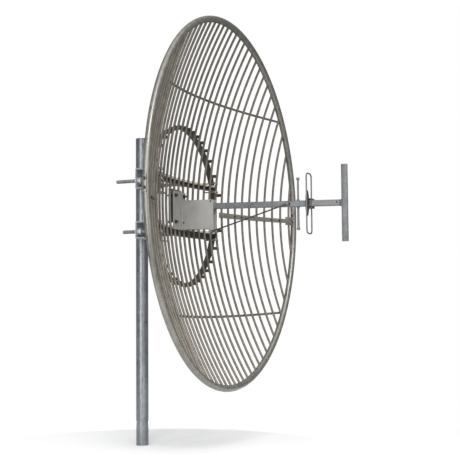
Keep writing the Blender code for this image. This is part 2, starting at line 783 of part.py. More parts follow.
def build_dipole_mounts(looks):
    """A collar round the boom that reaches the far leg, and the insulator under the near leg."""
    hole = BOOM_SIDE / 2 + GAP
    leg = DIPOLE_WIDTH / 2 - DIPOLE_RADIUS - GAP
    near_face = hole + COLLAR_WALL
    block = box(
        on_dish(-near_face, -CLAMP_AHEAD - CLAMP_DEEP / 2, -FEED_DROP - CLAMP_TALL / 2),
        on_dish(leg, -CLAMP_AHEAD + CLAMP_DEEP / 2, -FEED_DROP + CLAMP_TALL / 2),
    )
    way_through = box(
        on_dish(-hole, -CLAMP_AHEAD - CLAMP_DEEP, -FEED_DROP - hole),
        on_dish(hole, -CLAMP_AHEAD + CLAMP_DEEP, -FEED_DROP + hole),
    )
    new_object("dipole_clamp", drooped(cut(block, way_through)), looks["clamp_plastic"])
    bm = bmesh.new()
    end = INSULATOR_END / 2
    middle = INSULATOR_DEEP / 2
    tall = INSULATOR_TALL / 2
    flat_tall = tall * INSULATOR_FLAT
    outline = (
        (-end, -tall), (end, -tall), (middle, -flat_tall), (middle, flat_tall),
        (end, tall), (-end, tall), (-middle, flat_tall), (-middle, -flat_tall),
    )
    corners = [
        bm.verts.new(on_dish(-leg, -DIPOLE_AHEAD + ahead, -FEED_DROP + up)) for ahead, up in outline
    ]
    face = bm.faces.new(corners)
    grown = bmesh.ops.extrude_face_region(bm, geom=[face, *face.edges])
    moved = [item for item in grown["geom"] if isinstance(item, bmesh.types.BMVert)]
    bmesh.ops.translate(bm, verts=moved, vec=(leg - near_face - GAP, 0, 0))
    new_object("dipole_insulator", drooped(mesh_of(bm, "insulator")), looks["black_plastic"])


def build_stay(looks):
    """The thin diagonal rod that holds the boom up, from the bracket's ear to the boom's side."""
    outside = -CHEEK_INSIDE - CHEEK_THICKNESS - GAP
    axis_x = outside - STAY_RADIUS
    ear = flange_back() - FLANGE_THICKNESS - CHEEK_LENGTH + EAR_WIDTH / 2
    low = on_dish(axis_x, ear, EAR_BOTTOM + EAR_WIDTH / 2 - sunk_by(-ear))
    high = on_dish(axis_x, -STAY_AHEAD, -FEED_DROP - sunk_by(STAY_AHEAD))
    rod = cylinder(low, high, STAY_RADIUS, FEED_SIDES)
    out = Vector((STAY_RADIUS, 0, 0))
    low_eye = cylinder(low - out, low + out, STAY_EYE_RADIUS, FEED_SIDES)
    boom_face = Vector((-BOOM_SIDE / 2 - GAP, high.y, high.z))
    high_eye = cylinder(high - out, boom_face, STAY_EYE_RADIUS, FEED_SIDES)
    new_object("boom_stay", union(rod, joined([low_eye, high_eye], "eyes")), looks["dark_steel"])


def main():
    clear_scene()
    looks = frame_colours()
    build_mast(looks)
    clamp_channel("upper_mast_channel", UPPER_CHANNEL_TALL, UPPER_CLAMP_UP, looks["galvanised"])
    clamp_channel("lower_mast_channel", LOWER_CHANNEL_TALL, LOWER_CLAMP_UP, looks["galvanised"])
    build_ubolt("upper_u_bolt", UPPER_CLAMP_UP, looks["zinc_fittings"])
    build_ubolt("lower_u_bolt", LOWER_CLAMP_UP, looks["zinc_fittings"])
    for place, x in (("left", -STUD_SPACING), ("right", STUD_SPACING)):
        build_stud(f"upper_stud_{place}", x, CLAMP_HEIGHT, UPPER_STUD_TAIL, looks["zinc_fittings"])
        build_stud(f"lower_stud_{place}", x, -CLAMP_HEIGHT, LOWER_STUD_TAIL, looks["zinc_fittings"])
    build_rim(looks)
    build_splices(looks)
    build_grid(looks)
    build_hoop(looks)
    build_hub_bars(looks)
    build_struts(looks)
    build_feed_bracket(looks)
    build_boom(looks)
    build_reflector(looks)
    build_director(looks)
    build_dipole(looks)
    build_dipole_mounts(looks)
    build_stay(looks)


main()
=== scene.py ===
"""Looks of the grid dish antenna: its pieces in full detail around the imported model."""

import math

import bmesh
import bpy
from mathutils import Matrix, Vector


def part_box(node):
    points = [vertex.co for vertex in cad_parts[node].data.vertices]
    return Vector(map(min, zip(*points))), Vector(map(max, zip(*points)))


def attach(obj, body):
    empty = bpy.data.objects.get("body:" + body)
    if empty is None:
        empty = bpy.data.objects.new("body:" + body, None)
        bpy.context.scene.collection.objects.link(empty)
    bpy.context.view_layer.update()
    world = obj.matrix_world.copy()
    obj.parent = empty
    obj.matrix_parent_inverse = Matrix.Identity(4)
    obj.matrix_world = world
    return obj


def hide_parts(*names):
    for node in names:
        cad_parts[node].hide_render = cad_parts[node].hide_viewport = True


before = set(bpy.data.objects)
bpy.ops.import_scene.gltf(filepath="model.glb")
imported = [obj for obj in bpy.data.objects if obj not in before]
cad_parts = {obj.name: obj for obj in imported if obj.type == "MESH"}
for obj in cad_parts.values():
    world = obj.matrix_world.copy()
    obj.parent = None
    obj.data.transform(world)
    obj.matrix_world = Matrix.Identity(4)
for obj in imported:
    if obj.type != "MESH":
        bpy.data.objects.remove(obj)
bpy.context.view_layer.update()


# The mast: two inch steel water pipe, hot-dip galvanised after it was cut to length. The zinc
# has gone dull and slightly blue. A plug closes the foot and a pressed cap the top.

MAST_RADIUS = 0.03015
MAST_BORE = 0.02725
MAST_HEIGHT = 1.512
MAST_EDGE = 0.0008
PLUG_RADIUS = 0.0268
PLUG_TALL = 0.012
PLUG_EDGE = 0.0006
CAP_GAP = 0.0003


def from_hex(code):
    """An sRGB hex colour as linear red, green, blue and alpha."""
    parts = [int(code[start:start + 2], 16) / 255 for start in (0, 2, 4)]
    linear = [part / 12.92 if part <= 0.04045 else ((part + 0.055) / 1.055) ** 2.4 for part in parts]
    return (*linear, 1.0)


def add_node(look, kind, settings=None, links=None):
    """Add a shader node with its settings and links. A number names an input by its place."""
    node = look.node_tree.nodes.new(kind)
    for key, value in (settings or {}).items():
        if isinstance(key, str) and hasattr(node, key):
            setattr(node, key, value)
        else:
            node.inputs[key].default_value = value
    for key, source in (links or {}).items():
        look.node_tree.links.new(source, node.inputs[key])
    return node


def start_look(name, colour, metallic, roughness):
    """A new Principled material with its even values, its shader and its Object coordinates."""
    look = bpy.data.materials.new(name)
    look.use_nodes = True
    shader = look.node_tree.nodes["Principled BSDF"]
    shader.inputs["Base Color"].default_value = from_hex(colour)
    shader.inputs["Metallic"].default_value = metallic
    shader.inputs["Roughness"].default_value = roughness
    return look, shader, add_node(look, "ShaderNodeTexCoord").outputs["Object"]


def finish_look(look, shader, pattern, reach, colours, relief, strength, depth):
    """Colour a material by a pattern, within reach of its middle value, and raise a fine relief."""
    ramp = add_node(look, "ShaderNodeValToRGB", links={"Fac": pattern})
    stops = ramp.color_ramp.elements
    while len(stops) < len(colours):
        stops.new(0.5)
    for index, (stop, code) in enumerate(zip(stops, colours)):
        stop.position = 0.5 + reach * (2 * index / (len(colours) - 1) - 1)
        stop.color = from_hex(code)
    look.node_tree.links.new(ramp.outputs["Color"], shader.inputs["Base Color"])
    bump = add_node(look, "ShaderNodeBump", {"Strength": strength, "Distance": depth}, {"Height": relief})
    look.node_tree.links.new(bump.outputs["Normal"], shader.inputs["Normal"])


def galvanised_look(name, dark, middle, light, roughness, metallic=0.4):
    """Zinc from the dipping bath: crystals of 15 mm, clouds of patina and runs down the height."""
    look, shader, place = start_look(name, middle, metallic, roughness)
    crystals = add_node(look, "ShaderNodeTexVoronoi", {"Scale": 65.0}, {"Vector": place})
    clouds = add_node(look, "ShaderNodeTexNoise", {"Scale": 22.0, "Detail": 5.0}, {"Vector": place})
    tall = add_node(look, "ShaderNodeMapping", {"Scale": (60.0, 60.0, 3.0)}, {"Vector": place})
    runs = add_node(
        look, "ShaderNodeTexNoise", {"Scale": 1.0, "Detail": 3.0}, {"Vector": tall.outputs["Vector"]}
    )
    grain = add_node(
        look, "ShaderNodeMix", {"data_type": "FLOAT", "Factor": 0.3},
        {2: clouds.outputs["Fac"], 3: crystals.outputs["Color"]},
    )
    mixed = add_node(
        look, "ShaderNodeMix", {"data_type": "FLOAT", "Factor": 0.35},
        {2: grain.outputs[0], 3: runs.outputs["Fac"]},
    )
    dull = add_node(
        look, "ShaderNodeMapRange",
        {"From Min": 0.3, "From Max": 0.7, "To Min": roughness - 0.08, "To Max": roughness + 0.12},
        {"Value": clouds.outputs["Fac"]},
    )
    look.node_tree.links.new(dull.outputs["Result"], shader.inputs["Roughness"])
    finish_look(look, shader, mixed.outputs[0], 0.20, (dark, middle, light), mixed.outputs[0], 0.2, 0.0004)
    return look


def turned(outline, sides):
    """Turn an outline of (radius, height) points about the Z axis."""
    part = bmesh.new()
    verts = [part.verts.new((radius, 0, height)) for radius, height in outline]
    edges = [part.edges.new(pair) for pair in zip(verts, verts[1:])]
    bmesh.ops.spin(
        part, geom=verts + edges, cent=(0, 0, 0), axis=(0, 0, 1), angle=math.tau, steps=sides,
        use_merge=True,
    )
    bmesh.ops.remove_doubles(part, verts=part.verts, dist=1e-6)
    return part


def placed(part, place=None):
    """Move a shape into place and turn its faces outwards."""
    if place is not None:
        bmesh.ops.transform(part, matrix=place, verts=part.verts)
    bmesh.ops.recalc_face_normals(part, faces=part.faces)
    return part


def show(name, data):
    """A new object in the scene."""
    made = bpy.data.objects.new(name, data)
    bpy.context.scene.collection.objects.link(made)
    return made


def settle(name, piece, look, slot_name, *nodes):
    """Turn a piece's bmesh into its object, carried by the fixed body, in place of its CAD nodes."""
    mesh = bpy.data.meshes.new(name)
    piece.to_mesh(mesh)
    piece.free()
    mesh.materials.append(look)
    mesh.shade_smooth()
    mesh.set_sharp_from_angle(angle=math.radians(38))
    made = show(name, mesh)
    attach(made, "root")
    if nodes:
        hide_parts(*nodes)


pipe_zinc = galvanised_look("hot_dip_galvanised_pipe", "6a6e72", "7b7f84", "8d9195", 0.34, 0.7)

mast = placed(turned(
    (
        (MAST_BORE, 0), (MAST_RADIUS - MAST_EDGE, 0), (MAST_RADIUS, MAST_EDGE),
        (MAST_RADIUS, MAST_HEIGHT / 2), (MAST_RADIUS, MAST_HEIGHT - MAST_EDGE),
        (MAST_RADIUS - MAST_EDGE, MAST_HEIGHT), (MAST_BORE, MAST_HEIGHT), (MAST_BORE, MAST_HEIGHT / 2),
        (MAST_BORE, 0),
    ),
    64,
))
settle("mast_tube", mast, pipe_zinc, "galvanised", "mast_pipe")

plug = placed(turned(
    (
        (0, 0), (PLUG_RADIUS - PLUG_EDGE, 0), (PLUG_RADIUS, PLUG_EDGE), (PLUG_RADIUS, PLUG_TALL),
        (0, PLUG_TALL),
    ),
    48,
))
settle("foot_plug", plug, pipe_zinc, "galvanised", "mast_foot_plug")

cap_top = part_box("mast_top_cap")[1][2]
cap = placed(turned(
    (
        (0, cap_top - 0.0006), (0.012, cap_top), (0.0288, cap_top), (MAST_RADIUS, cap_top - 0.0014),
        (MAST_RADIUS, MAST_HEIGHT + CAP_GAP), (0.0267, MAST_HEIGHT + CAP_GAP),
        (0.0264, MAST_HEIGHT - PLUG_TALL), (0, MAST_HEIGHT - PLUG_TALL),
    ),
    64,
))
settle("top_cap", cap, pipe_zinc, "galvanised", "mast_top_cap")


# The mast clamps: two pressed channels of 6 mm steel, galvanised, each pulled on to the mast by
# a U-bolt. Four threaded studs with nuts on both sides of the web carry the dish's hub bars.

HUB_UP = 1.165
CHANNEL_HALF = 0.130
CHANNEL_WEB_BACK = -0.03045
CHANNEL_DEEP = 0.048
CHANNEL_WALL = 0.006
CHANNEL_ROUND = 0.0015
STUD_ACROSS = 0.108
STUD_UP = 0.125
STUD_RADIUS = 0.009
STUD_PITCH = 0.0016
STUD_NUT = 0.0165
UBOLT_RADIUS = 0.005
UBOLT_PITCH = 0.0015
UBOLT_THREAD = 0.024
LEG_ACROSS = 0.0357
LEG_TAIL = 0.0235
BEND_START = -0.012
WASHER_THICK = 0.002
HAIR_GAP = 0.0001
FORWARD = (0, -1, 0)
BACKWARD = (0, 1, 0)


def put(piece, part, place=None):
    """Add a shape to a piece made of several."""
    mesh = bpy.data.meshes.new("part")
    placed(part, place).to_mesh(mesh)
    part.free()
    piece.from_mesh(mesh)
    bpy.data.meshes.remove(mesh)


def facing(place, direction):
    """The matrix that takes a shape's +Z to a direction and its origin to a place."""
    turn = Vector(direction).to_track_quat("Z", "Y").to_matrix().to_4x4()
    return Matrix.Translation(Vector(place)) @ turn


def made_by(grown, kind):
    """The vertices, edges or faces that an extrusion made."""
    return [item for item in grown["geom"] if isinstance(item, kind)]


def run_of(edge, axis):
    """How far an edge runs along an axis."""
    return abs(edge.verts[0].co[axis] - edge.verts[1].co[axis])


def carried(corners, stations):
    """Carry an outline of (forward, up) corners along X through a row of stations."""
    part = bmesh.new()
    face = part.faces.new([part.verts.new((stations[0], forward, up)) for forward, up in corners])
    for left, right in zip(stations, stations[1:]):
        grown = bmesh.ops.extrude_face_region(part, geom=[face, *face.edges])
        face = made_by(grown, bmesh.types.BMFace)[0]
        bmesh.ops.translate(part, verts=made_by(grown, bmesh.types.BMVert), vec=(right - left, 0, 0))
    bmesh.ops.recalc_face_normals(part, faces=part.faces)
    return part


def round_off(part, edges, offset, segments=2):
    """Round edges of a shape."""
    bmesh.ops.bevel(
        part, geom=edges, offset=offset, segments=segments, profile=0.5, affect="EDGES", material=-1
    )


def rounded(part, offset):
    """Round the long edges of a carried shape."""
    long_edges = [edge for edge in part.edges if run_of(edge, 0) > 1e-6 and edge.calc_face_angle(0) > 0.7]
    round_off(part, long_edges, offset)
    return part


def spread(first, last, steps):
    """Evenly spaced values from first to last."""
    return [first + (last - first) * step / steps for step in range(steps + 1)]


def channel_corners(front, deep, half, wall):
    """A channel's outline, open towards -Y."""
    back = front + deep
    return (
        (front, -half), (front, -half + wall), (back - wall, -half + wall), (back - wall, half - wall),
        (front, half - wall), (front, half), (back, half), (back, -half),
    )


def hex_head(across_corners, tall):
    """A chamfered hexagon head, its seat at the origin and its top along +Z."""
    part = bmesh.new()
    bmesh.ops.create_cone(
        part, cap_ends=True, segments=6, radius1=across_corners, radius2=across_corners, depth=tall,
        matrix=Matrix.Translation((0, 0, tall / 2)),
    )
    rims = [edge for edge in part.edges if run_of(edge, 2) < 1e-6]
    round_off(part, rims, across_corners * 0.09)
    return part


def hex_nut(across_corners, tall, hole):
    """A chamfered hexagon nut with the start of its thread sunk in its top."""
    part = hex_head(across_corners, tall)
    top = max(part.faces, key=lambda face: face.calc_center_median().z)
    bmesh.ops.inset_region(part, faces=[top], thickness=across_corners * 0.77 - hole, depth=0.0)
    bmesh.ops.translate(part, verts=top.verts, vec=(0, 0, -0.0012))
    return part


def washer(radius, thick):
    """A flat round washer with broken edges."""
    edge = thick * 0.25
    return turned(
        (
            (0, 0), (radius - edge, 0), (radius, edge), (radius, thick - edge), (radius - edge, thick),
            (0, thick),
        ),
        24,
    )


def threaded(radius, length, pitch):
    """A threaded bar along +Z, its turns drawn as rings, with chamfered ends."""
    root = radius - pitch * 0.45
    turns = int((length - 2 * pitch) / pitch)
    outline = [(0, 0), (root * 0.9, 0), (root, pitch * 0.5)]
    for turn in range(turns):
        outline += [(radius, pitch * (turn + 1.0)), (root, pitch * (turn + 1.5))]
    outline += [(root, length - pitch * 0.5), (root * 0.9, length), (0, length)]
    return turned(outline, 14)


def bent_bar(path, radius, sides):
    """A round bar carried along a path of points, closed at both ends."""
    part = bmesh.new()
    path = [Vector(point) for point in path]
    neighbours = zip([path[0], *path], [*path[1:], path[-1]])
    ways = [(after - before).normalized() for before, after in neighbours]
    ways[0] = (path[1] - path[0]).normalized()
    here = facing(path[0], ways[0])
    ring = bmesh.ops.create_circle(part, cap_ends=True, segments=sides, radius=radius, matrix=here)["verts"]
    edges = list({edge for vert in ring for edge in vert.link_edges})
    way = ways[0]
    for point, after in zip(path[1:], ways[1:]):
        turn = way.rotation_difference(after).to_matrix().to_4x4()
        there = Matrix.Translation(point) @ turn @ here.to_3x3().to_4x4()
        grown = bmesh.ops.extrude_edge_only(part, edges=edges)
        ring = made_by(grown, bmesh.types.BMVert)
        known = set(ring)
        edges = [edge for edge in made_by(grown, bmesh.types.BMEdge) if known.issuperset(edge.verts)]
        bmesh.ops.transform(part, matrix=there @ here.inverted(), verts=ring)
        here = there
        way = after
    bmesh.ops.contextual_create(part, geom=edges)
    return part


clamp_zinc = galvanised_look("hot_dip_galvanised_clamp_steel", "84888b", "93979a", "a4a7a9", 0.5)
bright_zinc = galvanised_look("zinc_plated_nuts", "a5a9ac", "b7bbbe", "c8cbcd", 0.36)
thread_zinc = galvanised_look("zinc_plated_threads", "6f6e6b", "7f7e7a", "918f8b", 0.45)

web_front = CHANNEL_WEB_BACK - CHANNEL_WALL
washer_seat = web_front - HAIR_GAP
nut_seat = washer_seat - WASHER_THICK
leg_end = web_front - LEG_TAIL
bar_end = leg_end + UBOLT_THREAD - 0.002

for name, centre_up, half_tall, side in (("upper", 0.134, 0.050, 1), ("lower", -0.118, 0.042, -1)):
    level = HUB_UP + centre_up
    corners = channel_corners(CHANNEL_WEB_BACK - CHANNEL_DEEP, CHANNEL_DEEP, half_tall, CHANNEL_WALL)
    channel = rounded(carried(corners, (-CHANNEL_HALF, 0.0, CHANNEL_HALF)), CHANNEL_ROUND)
    placed(channel, Matrix.Translation((0, 0, level)))
    settle(f"{name}_clamp_channel", channel, clamp_zinc, "galvanised", f"{name}_mast_channel")

    ubolt = bmesh.new()
    path = [(-LEG_ACROSS, bar_end, level), (-LEG_ACROSS, BEND_START, level)]
    for turn in spread(0.0, math.pi, 20):
        path.append((-LEG_ACROSS * math.cos(turn), LEG_ACROSS * math.sin(turn), level))
    path += [(LEG_ACROSS, BEND_START, level), (LEG_ACROSS, bar_end, level)]
    put(ubolt, bent_bar(path, UBOLT_RADIUS, 12))
    for x in (-LEG_ACROSS, LEG_ACROSS):
        put(ubolt, threaded(UBOLT_RADIUS, UBOLT_THREAD, UBOLT_PITCH), facing((x, leg_end, level), BACKWARD))
        put(ubolt, washer(0.0100, WASHER_THICK), facing((x, washer_seat, level), FORWARD))
        put(ubolt, hex_nut(0.0098, 0.008, UBOLT_RADIUS), facing((x, nut_seat, level), FORWARD))
    settle(f"{name}_mast_u_bolt", ubolt, clamp_zinc, "zinc_fittings", f"{name}_u_bolt")

    level = HUB_UP + side * STUD_UP
    for place, x in (("left", -STUD_ACROSS), ("right", STUD_ACROSS)):
        low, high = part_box(f"{name}_stud_{place}")
        stud = threaded(STUD_RADIUS, high[1] - low[1], STUD_PITCH)
        placed(stud, facing((x, low[1], level), BACKWARD))
        settle(f"{name}_{place}_threaded_stud", stud, thread_zinc, "zinc_fittings", f"{name}_stud_{place}")
        nuts = bmesh.new()
        put(nuts, washer(0.0175, WASHER_THICK), facing((x, washer_seat, level), FORWARD))
        for tall, seat, way in (
            (0.0150, nut_seat, FORWARD),
            (0.0075, CHANNEL_WEB_BACK + 0.0003, BACKWARD),
            (0.0085, low[1] + 0.0002, BACKWARD),
        ):
            put(nuts, hex_nut(STUD_NUT, tall, STUD_RADIUS), facing((x, seat, level), way))
        settle(f"{name}_{place}_stud_nuts", nuts, bright_zinc, "zinc_fittings")


# The hub frame: a flat steel hoop on edge and two bent channels across it, welded up and
# galvanised. Hoop and channels are coloured darker than the frame as painted shade. Small blocks
# tie each rod that crosses them, and each block on the hoop has a bolt. The blocks on the
# channels are coloured pale as a painted highlight.

RIM_PLANE_Y = -0.475
RIM_RADIUS = 0.884
BOWL_RADIUS = 0.885
BOWL_DEPTH = 0.2634
BOW = 0.004
ROD_RADIUS = 0.006
ROD_PITCH = 0.0518
ROD_COUNT = 34
HOOP_RADIUS = 0.385
HOOP_HALF_THICK = 0.003
HOOP_DEEP = 0.032
HOOP_EDGE = 0.001
TIE_HALF = 0.0075
TIE_START = 0.0054
TIE_BOLT = 0.0040
SIDE_TIE_UP = 0.092
BAR_UP = 0.124
BAR_DEEP = 0.024
BAR_WALL = 0.004
BAR_TIE_HALF = 0.005


def bow(x, up):
    """How far the dish is bent back at a place: its top and bottom go back, its sides forward."""
    return BOW * (up * up - x * x) / RIM_RADIUS**2


def bowl_depth(x, up):
    """The bowl's depth behind the rim plane."""
    return BOWL_DEPTH * (1 - (x * x + up * up) / BOWL_RADIUS**2) + bow(x, up)


def bar_line(x):
    """How far a hub bar's bend takes it back from its middle."""
    return bowl_depth(x, BAR_UP) - bowl_depth(0, BAR_UP)


def weathered_look(name, dark, middle, light, roughness, metallic=0.35):
    """Old zinc that dust has turned warm grey: blotches of 30 mm, speckle of 2 mm, lighter on top."""
    look, shader, place = start_look(name, middle, metallic, roughness)
    blotches = add_node(look, "ShaderNodeTexNoise", {"Scale": 33.0, "Detail": 4.0}, {"Vector": place})
    speckle = add_node(look, "ShaderNodeTexNoise", {"Scale": 420.0, "Detail": 2.0}, {"Vector": place})
    mixed = add_node(
        look, "ShaderNodeMix", {"data_type": "FLOAT", "Factor": 0.35},
        {2: blotches.outputs["Fac"], 3: speckle.outputs["Fac"]},
    )
    normal = add_node(look, "ShaderNodeNewGeometry").outputs["Normal"]
    facing_up = add_node(look, "ShaderNodeSeparateXYZ", links={0: normal}).outputs["Z"]
    dust = add_node(
        look, "ShaderNodeMapRange", {"From Min": 0.2, "From Max": 1.0, "To Min": 0.0, "To Max": 0.14},
        {"Value": facing_up},
    )
    lifted = add_node(
        look, "ShaderNodeMath", {"operation": "ADD"}, {0: mixed.outputs[0], 1: dust.outputs["Result"]}
    )
    worn = add_node(
        look, "ShaderNodeMapRange",
        {"From Min": 0.3, "From Max": 0.7, "To Min": roughness - 0.1, "To Max": roughness + 0.12},
        {"Value": blotches.outputs["Fac"]},
    )
    look.node_tree.links.new(worn.outputs["Result"], shader.inputs["Roughness"])
    relief = speckle.outputs["Fac"]
    finish_look(look, shader, lifted.outputs[0], 0.18, (dark, middle, light), relief, 0.25, 0.0003)
    return look


def bent(part, bend):
    """Bend a shape in plan."""
    for vert in part.verts:
        vert.co.y += bend(vert.co.x)
    return part


def plate(low, high, round_edges):
    """A flat plate between two corners, its edges broken."""
    part = bmesh.new()
    size = Vector(high) - Vector(low)
    middle = (Vector(high) + Vector(low)) / 2
    bmesh.ops.create_cube(part, size=1.0, matrix=Matrix.Translation(middle) @ Matrix.Diagonal((*size, 1.0)))
    round_off(part, list(part.edges), round_edges)
    return part


# Painted shade: the hub channels' steel is coloured darker than the frame steel, to stand for the shadow
# inside the channels.
shade_darkened_bar_steel = weathered_look("hub_channel_steel_painted_shade", "4a443b", "595248", "6a6257", 0.55)
# Painted highlight: the ties on the channels are coloured pale, to stand for the lit top edge of the
# channels.
highlight_pale_tie_steel = weathered_look("channel_ties_painted_highlight", "b5b0a5", "c6c1b7", "d6d2c9", 0.5, 0.1)
# Painted shade: the hoop's steel is coloured darker than the frame steel, so that it reads as lying in
# shadow.
shaded_steel = weathered_look("hub_hoop_steel_painted_shade", "322d26", "3f3931", "4f493f", 0.55)
dark_steel = galvanised_look("blackened_steel", "2b2925", "3b3833", "55514a", 0.42)

rod_places = [(index - (ROD_COUNT - 1) / 2) * ROD_PITCH for index in range(ROD_COUNT)]
hoop_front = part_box("hub_hoop")[1][1] - HOOP_DEEP
inside = HOOP_RADIUS - HOOP_HALF_THICK
outside = HOOP_RADIUS + HOOP_HALF_THICK
hoop = bmesh.new()
put(hoop, turned(
    (
        (inside, HOOP_EDGE), (inside + HOOP_EDGE, 0), (outside - HOOP_EDGE, 0), (outside, HOOP_EDGE),
        (outside, HOOP_DEEP - HOOP_EDGE), (outside - HOOP_EDGE, HOOP_DEEP), (inside + HOOP_EDGE, HOOP_DEEP),
        (inside, HOOP_DEEP - HOOP_EDGE), (inside, HOOP_EDGE),
    ),
    128,
), facing((0, hoop_front, HUB_UP), BACKWARD))

tie_bolts = bmesh.new()
for x in rod_places:
    if abs(x) > HOOP_RADIUS + TIE_HALF:
        continue
    for side in (1, -1):
        up = math.sqrt(max(HOOP_RADIUS**2 - x * x, SIDE_TIE_UP**2))
        across = math.copysign(min(abs(x), math.sqrt(HOOP_RADIUS**2 - up * up) + TIE_HALF), x)
        level = HUB_UP + side * up
        put(hoop, plate(
            (across - TIE_HALF, RIM_PLANE_Y + bowl_depth(x, up) + TIE_START, level - TIE_HALF),
            (across + TIE_HALF, hoop_front + 0.010, level + TIE_HALF), 0.0015,
        ))
        outward = Vector((across, 0, side * up)).normalized()
        seat = Vector((across, hoop_front + 0.012, level)) + outward * 0.0025
        put(tie_bolts, hex_nut(0.0105, 0.0085, TIE_BOLT), facing(seat, outward))
        put(tie_bolts, threaded(TIE_BOLT, 0.013, 0.0015), facing(seat, outward))
# The hoop and its tie blocks take the steel that is darkened as painted shade.
settle("hub_ring", hoop, shaded_steel, "painted_frame", "hub_hoop")
settle("hub_ring_tie_bolts", tie_bolts, dark_steel, "dark_steel")

for name, side, half_tall in (("upper", 1, 0.011), ("lower", -1, 0.018)):
    low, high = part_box(f"{name}_hub_bar")
    reach = high[0]
    middle_front = high[1] - BAR_DEEP
    corners = channel_corners(0.0, BAR_DEEP, half_tall, BAR_WALL)
    bar = bent(rounded(carried(corners, spread(-reach, reach, 24)), 0.001), bar_line)
    placed(bar, Matrix.Translation((0, middle_front, HUB_UP + side * BAR_UP)))
    settle(f"{name}_cross_channel", bar, shade_darkened_bar_steel, "painted_frame", f"{name}_hub_bar")

    top = side * BAR_UP + half_tall
    bar_ties = bmesh.new()
    for x in rod_places:
        if abs(x) < reach - 2 * BAR_TIE_HALF:
            front = RIM_PLANE_Y + bowl_depth(x, top) + TIE_START
            back = middle_front + bar_line(x) + 0.006
            put(bar_ties, plate(
                (x - BAR_TIE_HALF, front, HUB_UP + top - BAR_TIE_HALF),
                (x + BAR_TIE_HALF, back, HUB_UP + top + BAR_TIE_HALF), 0.001,
            ))
    # The ties take the pale steel of the painted highlight.
    settle(f"{name}_channel_ties", bar_ties, highlight_pale_tie_steel, "painted_frame")


# The grid: upright rods of 12 mm steel, bent to the bowl and welded at every crossing to two
# cross rods behind them and to the rim. Galvanised as one, now a dusty warm grey.

ROD_REACH = 0.872
ROD_SIDES = 10
CROSS_RADIUS = 0.006
CROSS_END_UP = 0.511
CROSS_BULGE = 0.028
CROSS_REACH = 0.702
CROSS_SINK = 0.0015
STRIP_RODS = (6, 7, 7, 6)
EDGE_RODS = 4


def on_dish(x, behind, up):
    """A place given from the hub's axis and the rim plane."""
    return Vector((x, RIM_PLANE_Y + behind, HUB_UP + up))


def out_of_bowl(x, up):
    """The direction straight out of the back of the bowl."""
    slope = 2 * BOWL_DEPTH / BOWL_RADIUS**2
    return Vector((slope * x, 1.0, slope * up)).normalized()


def cross_up(x):
    """The height of the upper cross rod."""
    reach = math.sqrt(RIM_RADIUS**2 - CROSS_END_UP**2)
    return CROSS_END_UP + CROSS_BULGE * (1 - (x / reach) ** 2)


def upright_rod(x):
    """An upright rod, bent to the bowl, from rim to rim."""
    reach = math.sqrt(ROD_REACH**2 - x * x)
    steps = max(8, round(reach * 44))
    path = [on_dish(x, bowl_depth(x, up), up) for up in spread(-reach, reach, steps)]
    return bent_bar(path, ROD_RADIUS, ROD_SIDES)


def weld_bead(length, width):
    """A small rounded bead of weld metal, long in X."""
    part = bmesh.new()
    bmesh.ops.create_uvsphere(part, u_segments=8, v_segments=5, radius=1.0)
    bmesh.ops.scale(part, verts=part.verts, vec=(length / 2, width / 2, width / 2))
    return part


rod_steel = weathered_look("weathered_galvanised_rod", "5c564d", "6d675e", "7f7970", 0.48)

first = EDGE_RODS
for number, count in enumerate(STRIP_RODS):
    strip = bmesh.new()
    members = rod_places[first:first + count]
    for x in members:
        put(strip, upright_rod(x))
        for side in (1, -1):
            up = side * cross_up(x)
            out = out_of_bowl(x, up)
            crossing = on_dish(x, bowl_depth(x, up), up) + out * ROD_RADIUS
            put(strip, weld_bead(0.013, 0.006), facing(crossing, out))
    left = members[0] - ROD_PITCH / 2 if number > 0 else -CROSS_REACH
    right = members[-1] + ROD_PITCH / 2 if number < len(STRIP_RODS) - 1 else CROSS_REACH
    for side in (1, -1):
        path = []
        for x in spread(left, right, 3 * count):
            up = side * cross_up(x)
            behind = out_of_bowl(x, up) * (ROD_RADIUS + CROSS_RADIUS - CROSS_SINK)
            path.append(on_dish(x, bowl_depth(x, up), up) + behind)
        put(strip, bent_bar(path, CROSS_RADIUS, ROD_SIDES))
    settle(f"rod_strip_{number + 1}", strip, rod_steel, "grid_rods", f"grid_strip_{number + 1}")
    first += count
for number, x in enumerate(rod_places[:EDGE_RODS], start=1):
    for place, side in (("left", 1), ("right", -1)):
        settle(
            f"outer_rod_{place}_{number}", placed(upright_rod(side * x)), rod_steel, "grid_rods",
            f"edge_rod_{place}_{number}",
        )


# The rim: round steel tube of 32 mm rolled into two half rings. They meet at the middle height,
# where a flat plate outside and one inside are bolted through them.

RIM_TUBE = 0.016
RIM_GAP = 0.0003
RIM_STRAIGHT = 0.012
RIM_START = math.radians(3.1)
SPLICE_HEAD = 0.006
SPLICE_BOLT_UP = 0.019

rim_steel = weathered_look("weathered_galvanised_rim_tube", "75736c", "83817a", "92908a", 0.40, 0.72)
for name, side in (("upper", 1), ("lower", -1)):
    turns = spread(RIM_START, math.pi - RIM_START, 110)
    places = [(RIM_RADIUS, side * RIM_GAP), (RIM_RADIUS, side * RIM_STRAIGHT)]
    places += [(RIM_RADIUS * math.cos(turn), side * RIM_RADIUS * math.sin(turn)) for turn in turns]
    places += [(-RIM_RADIUS, side * RIM_STRAIGHT), (-RIM_RADIUS, side * RIM_GAP)]
    half = bent_bar([on_dish(x, bow(x, up), up) for x, up in places], RIM_TUBE, 24)
    settle(f"rim_half_{name}", placed(half), rim_steel, "painted_frame", f"rim_{name}")

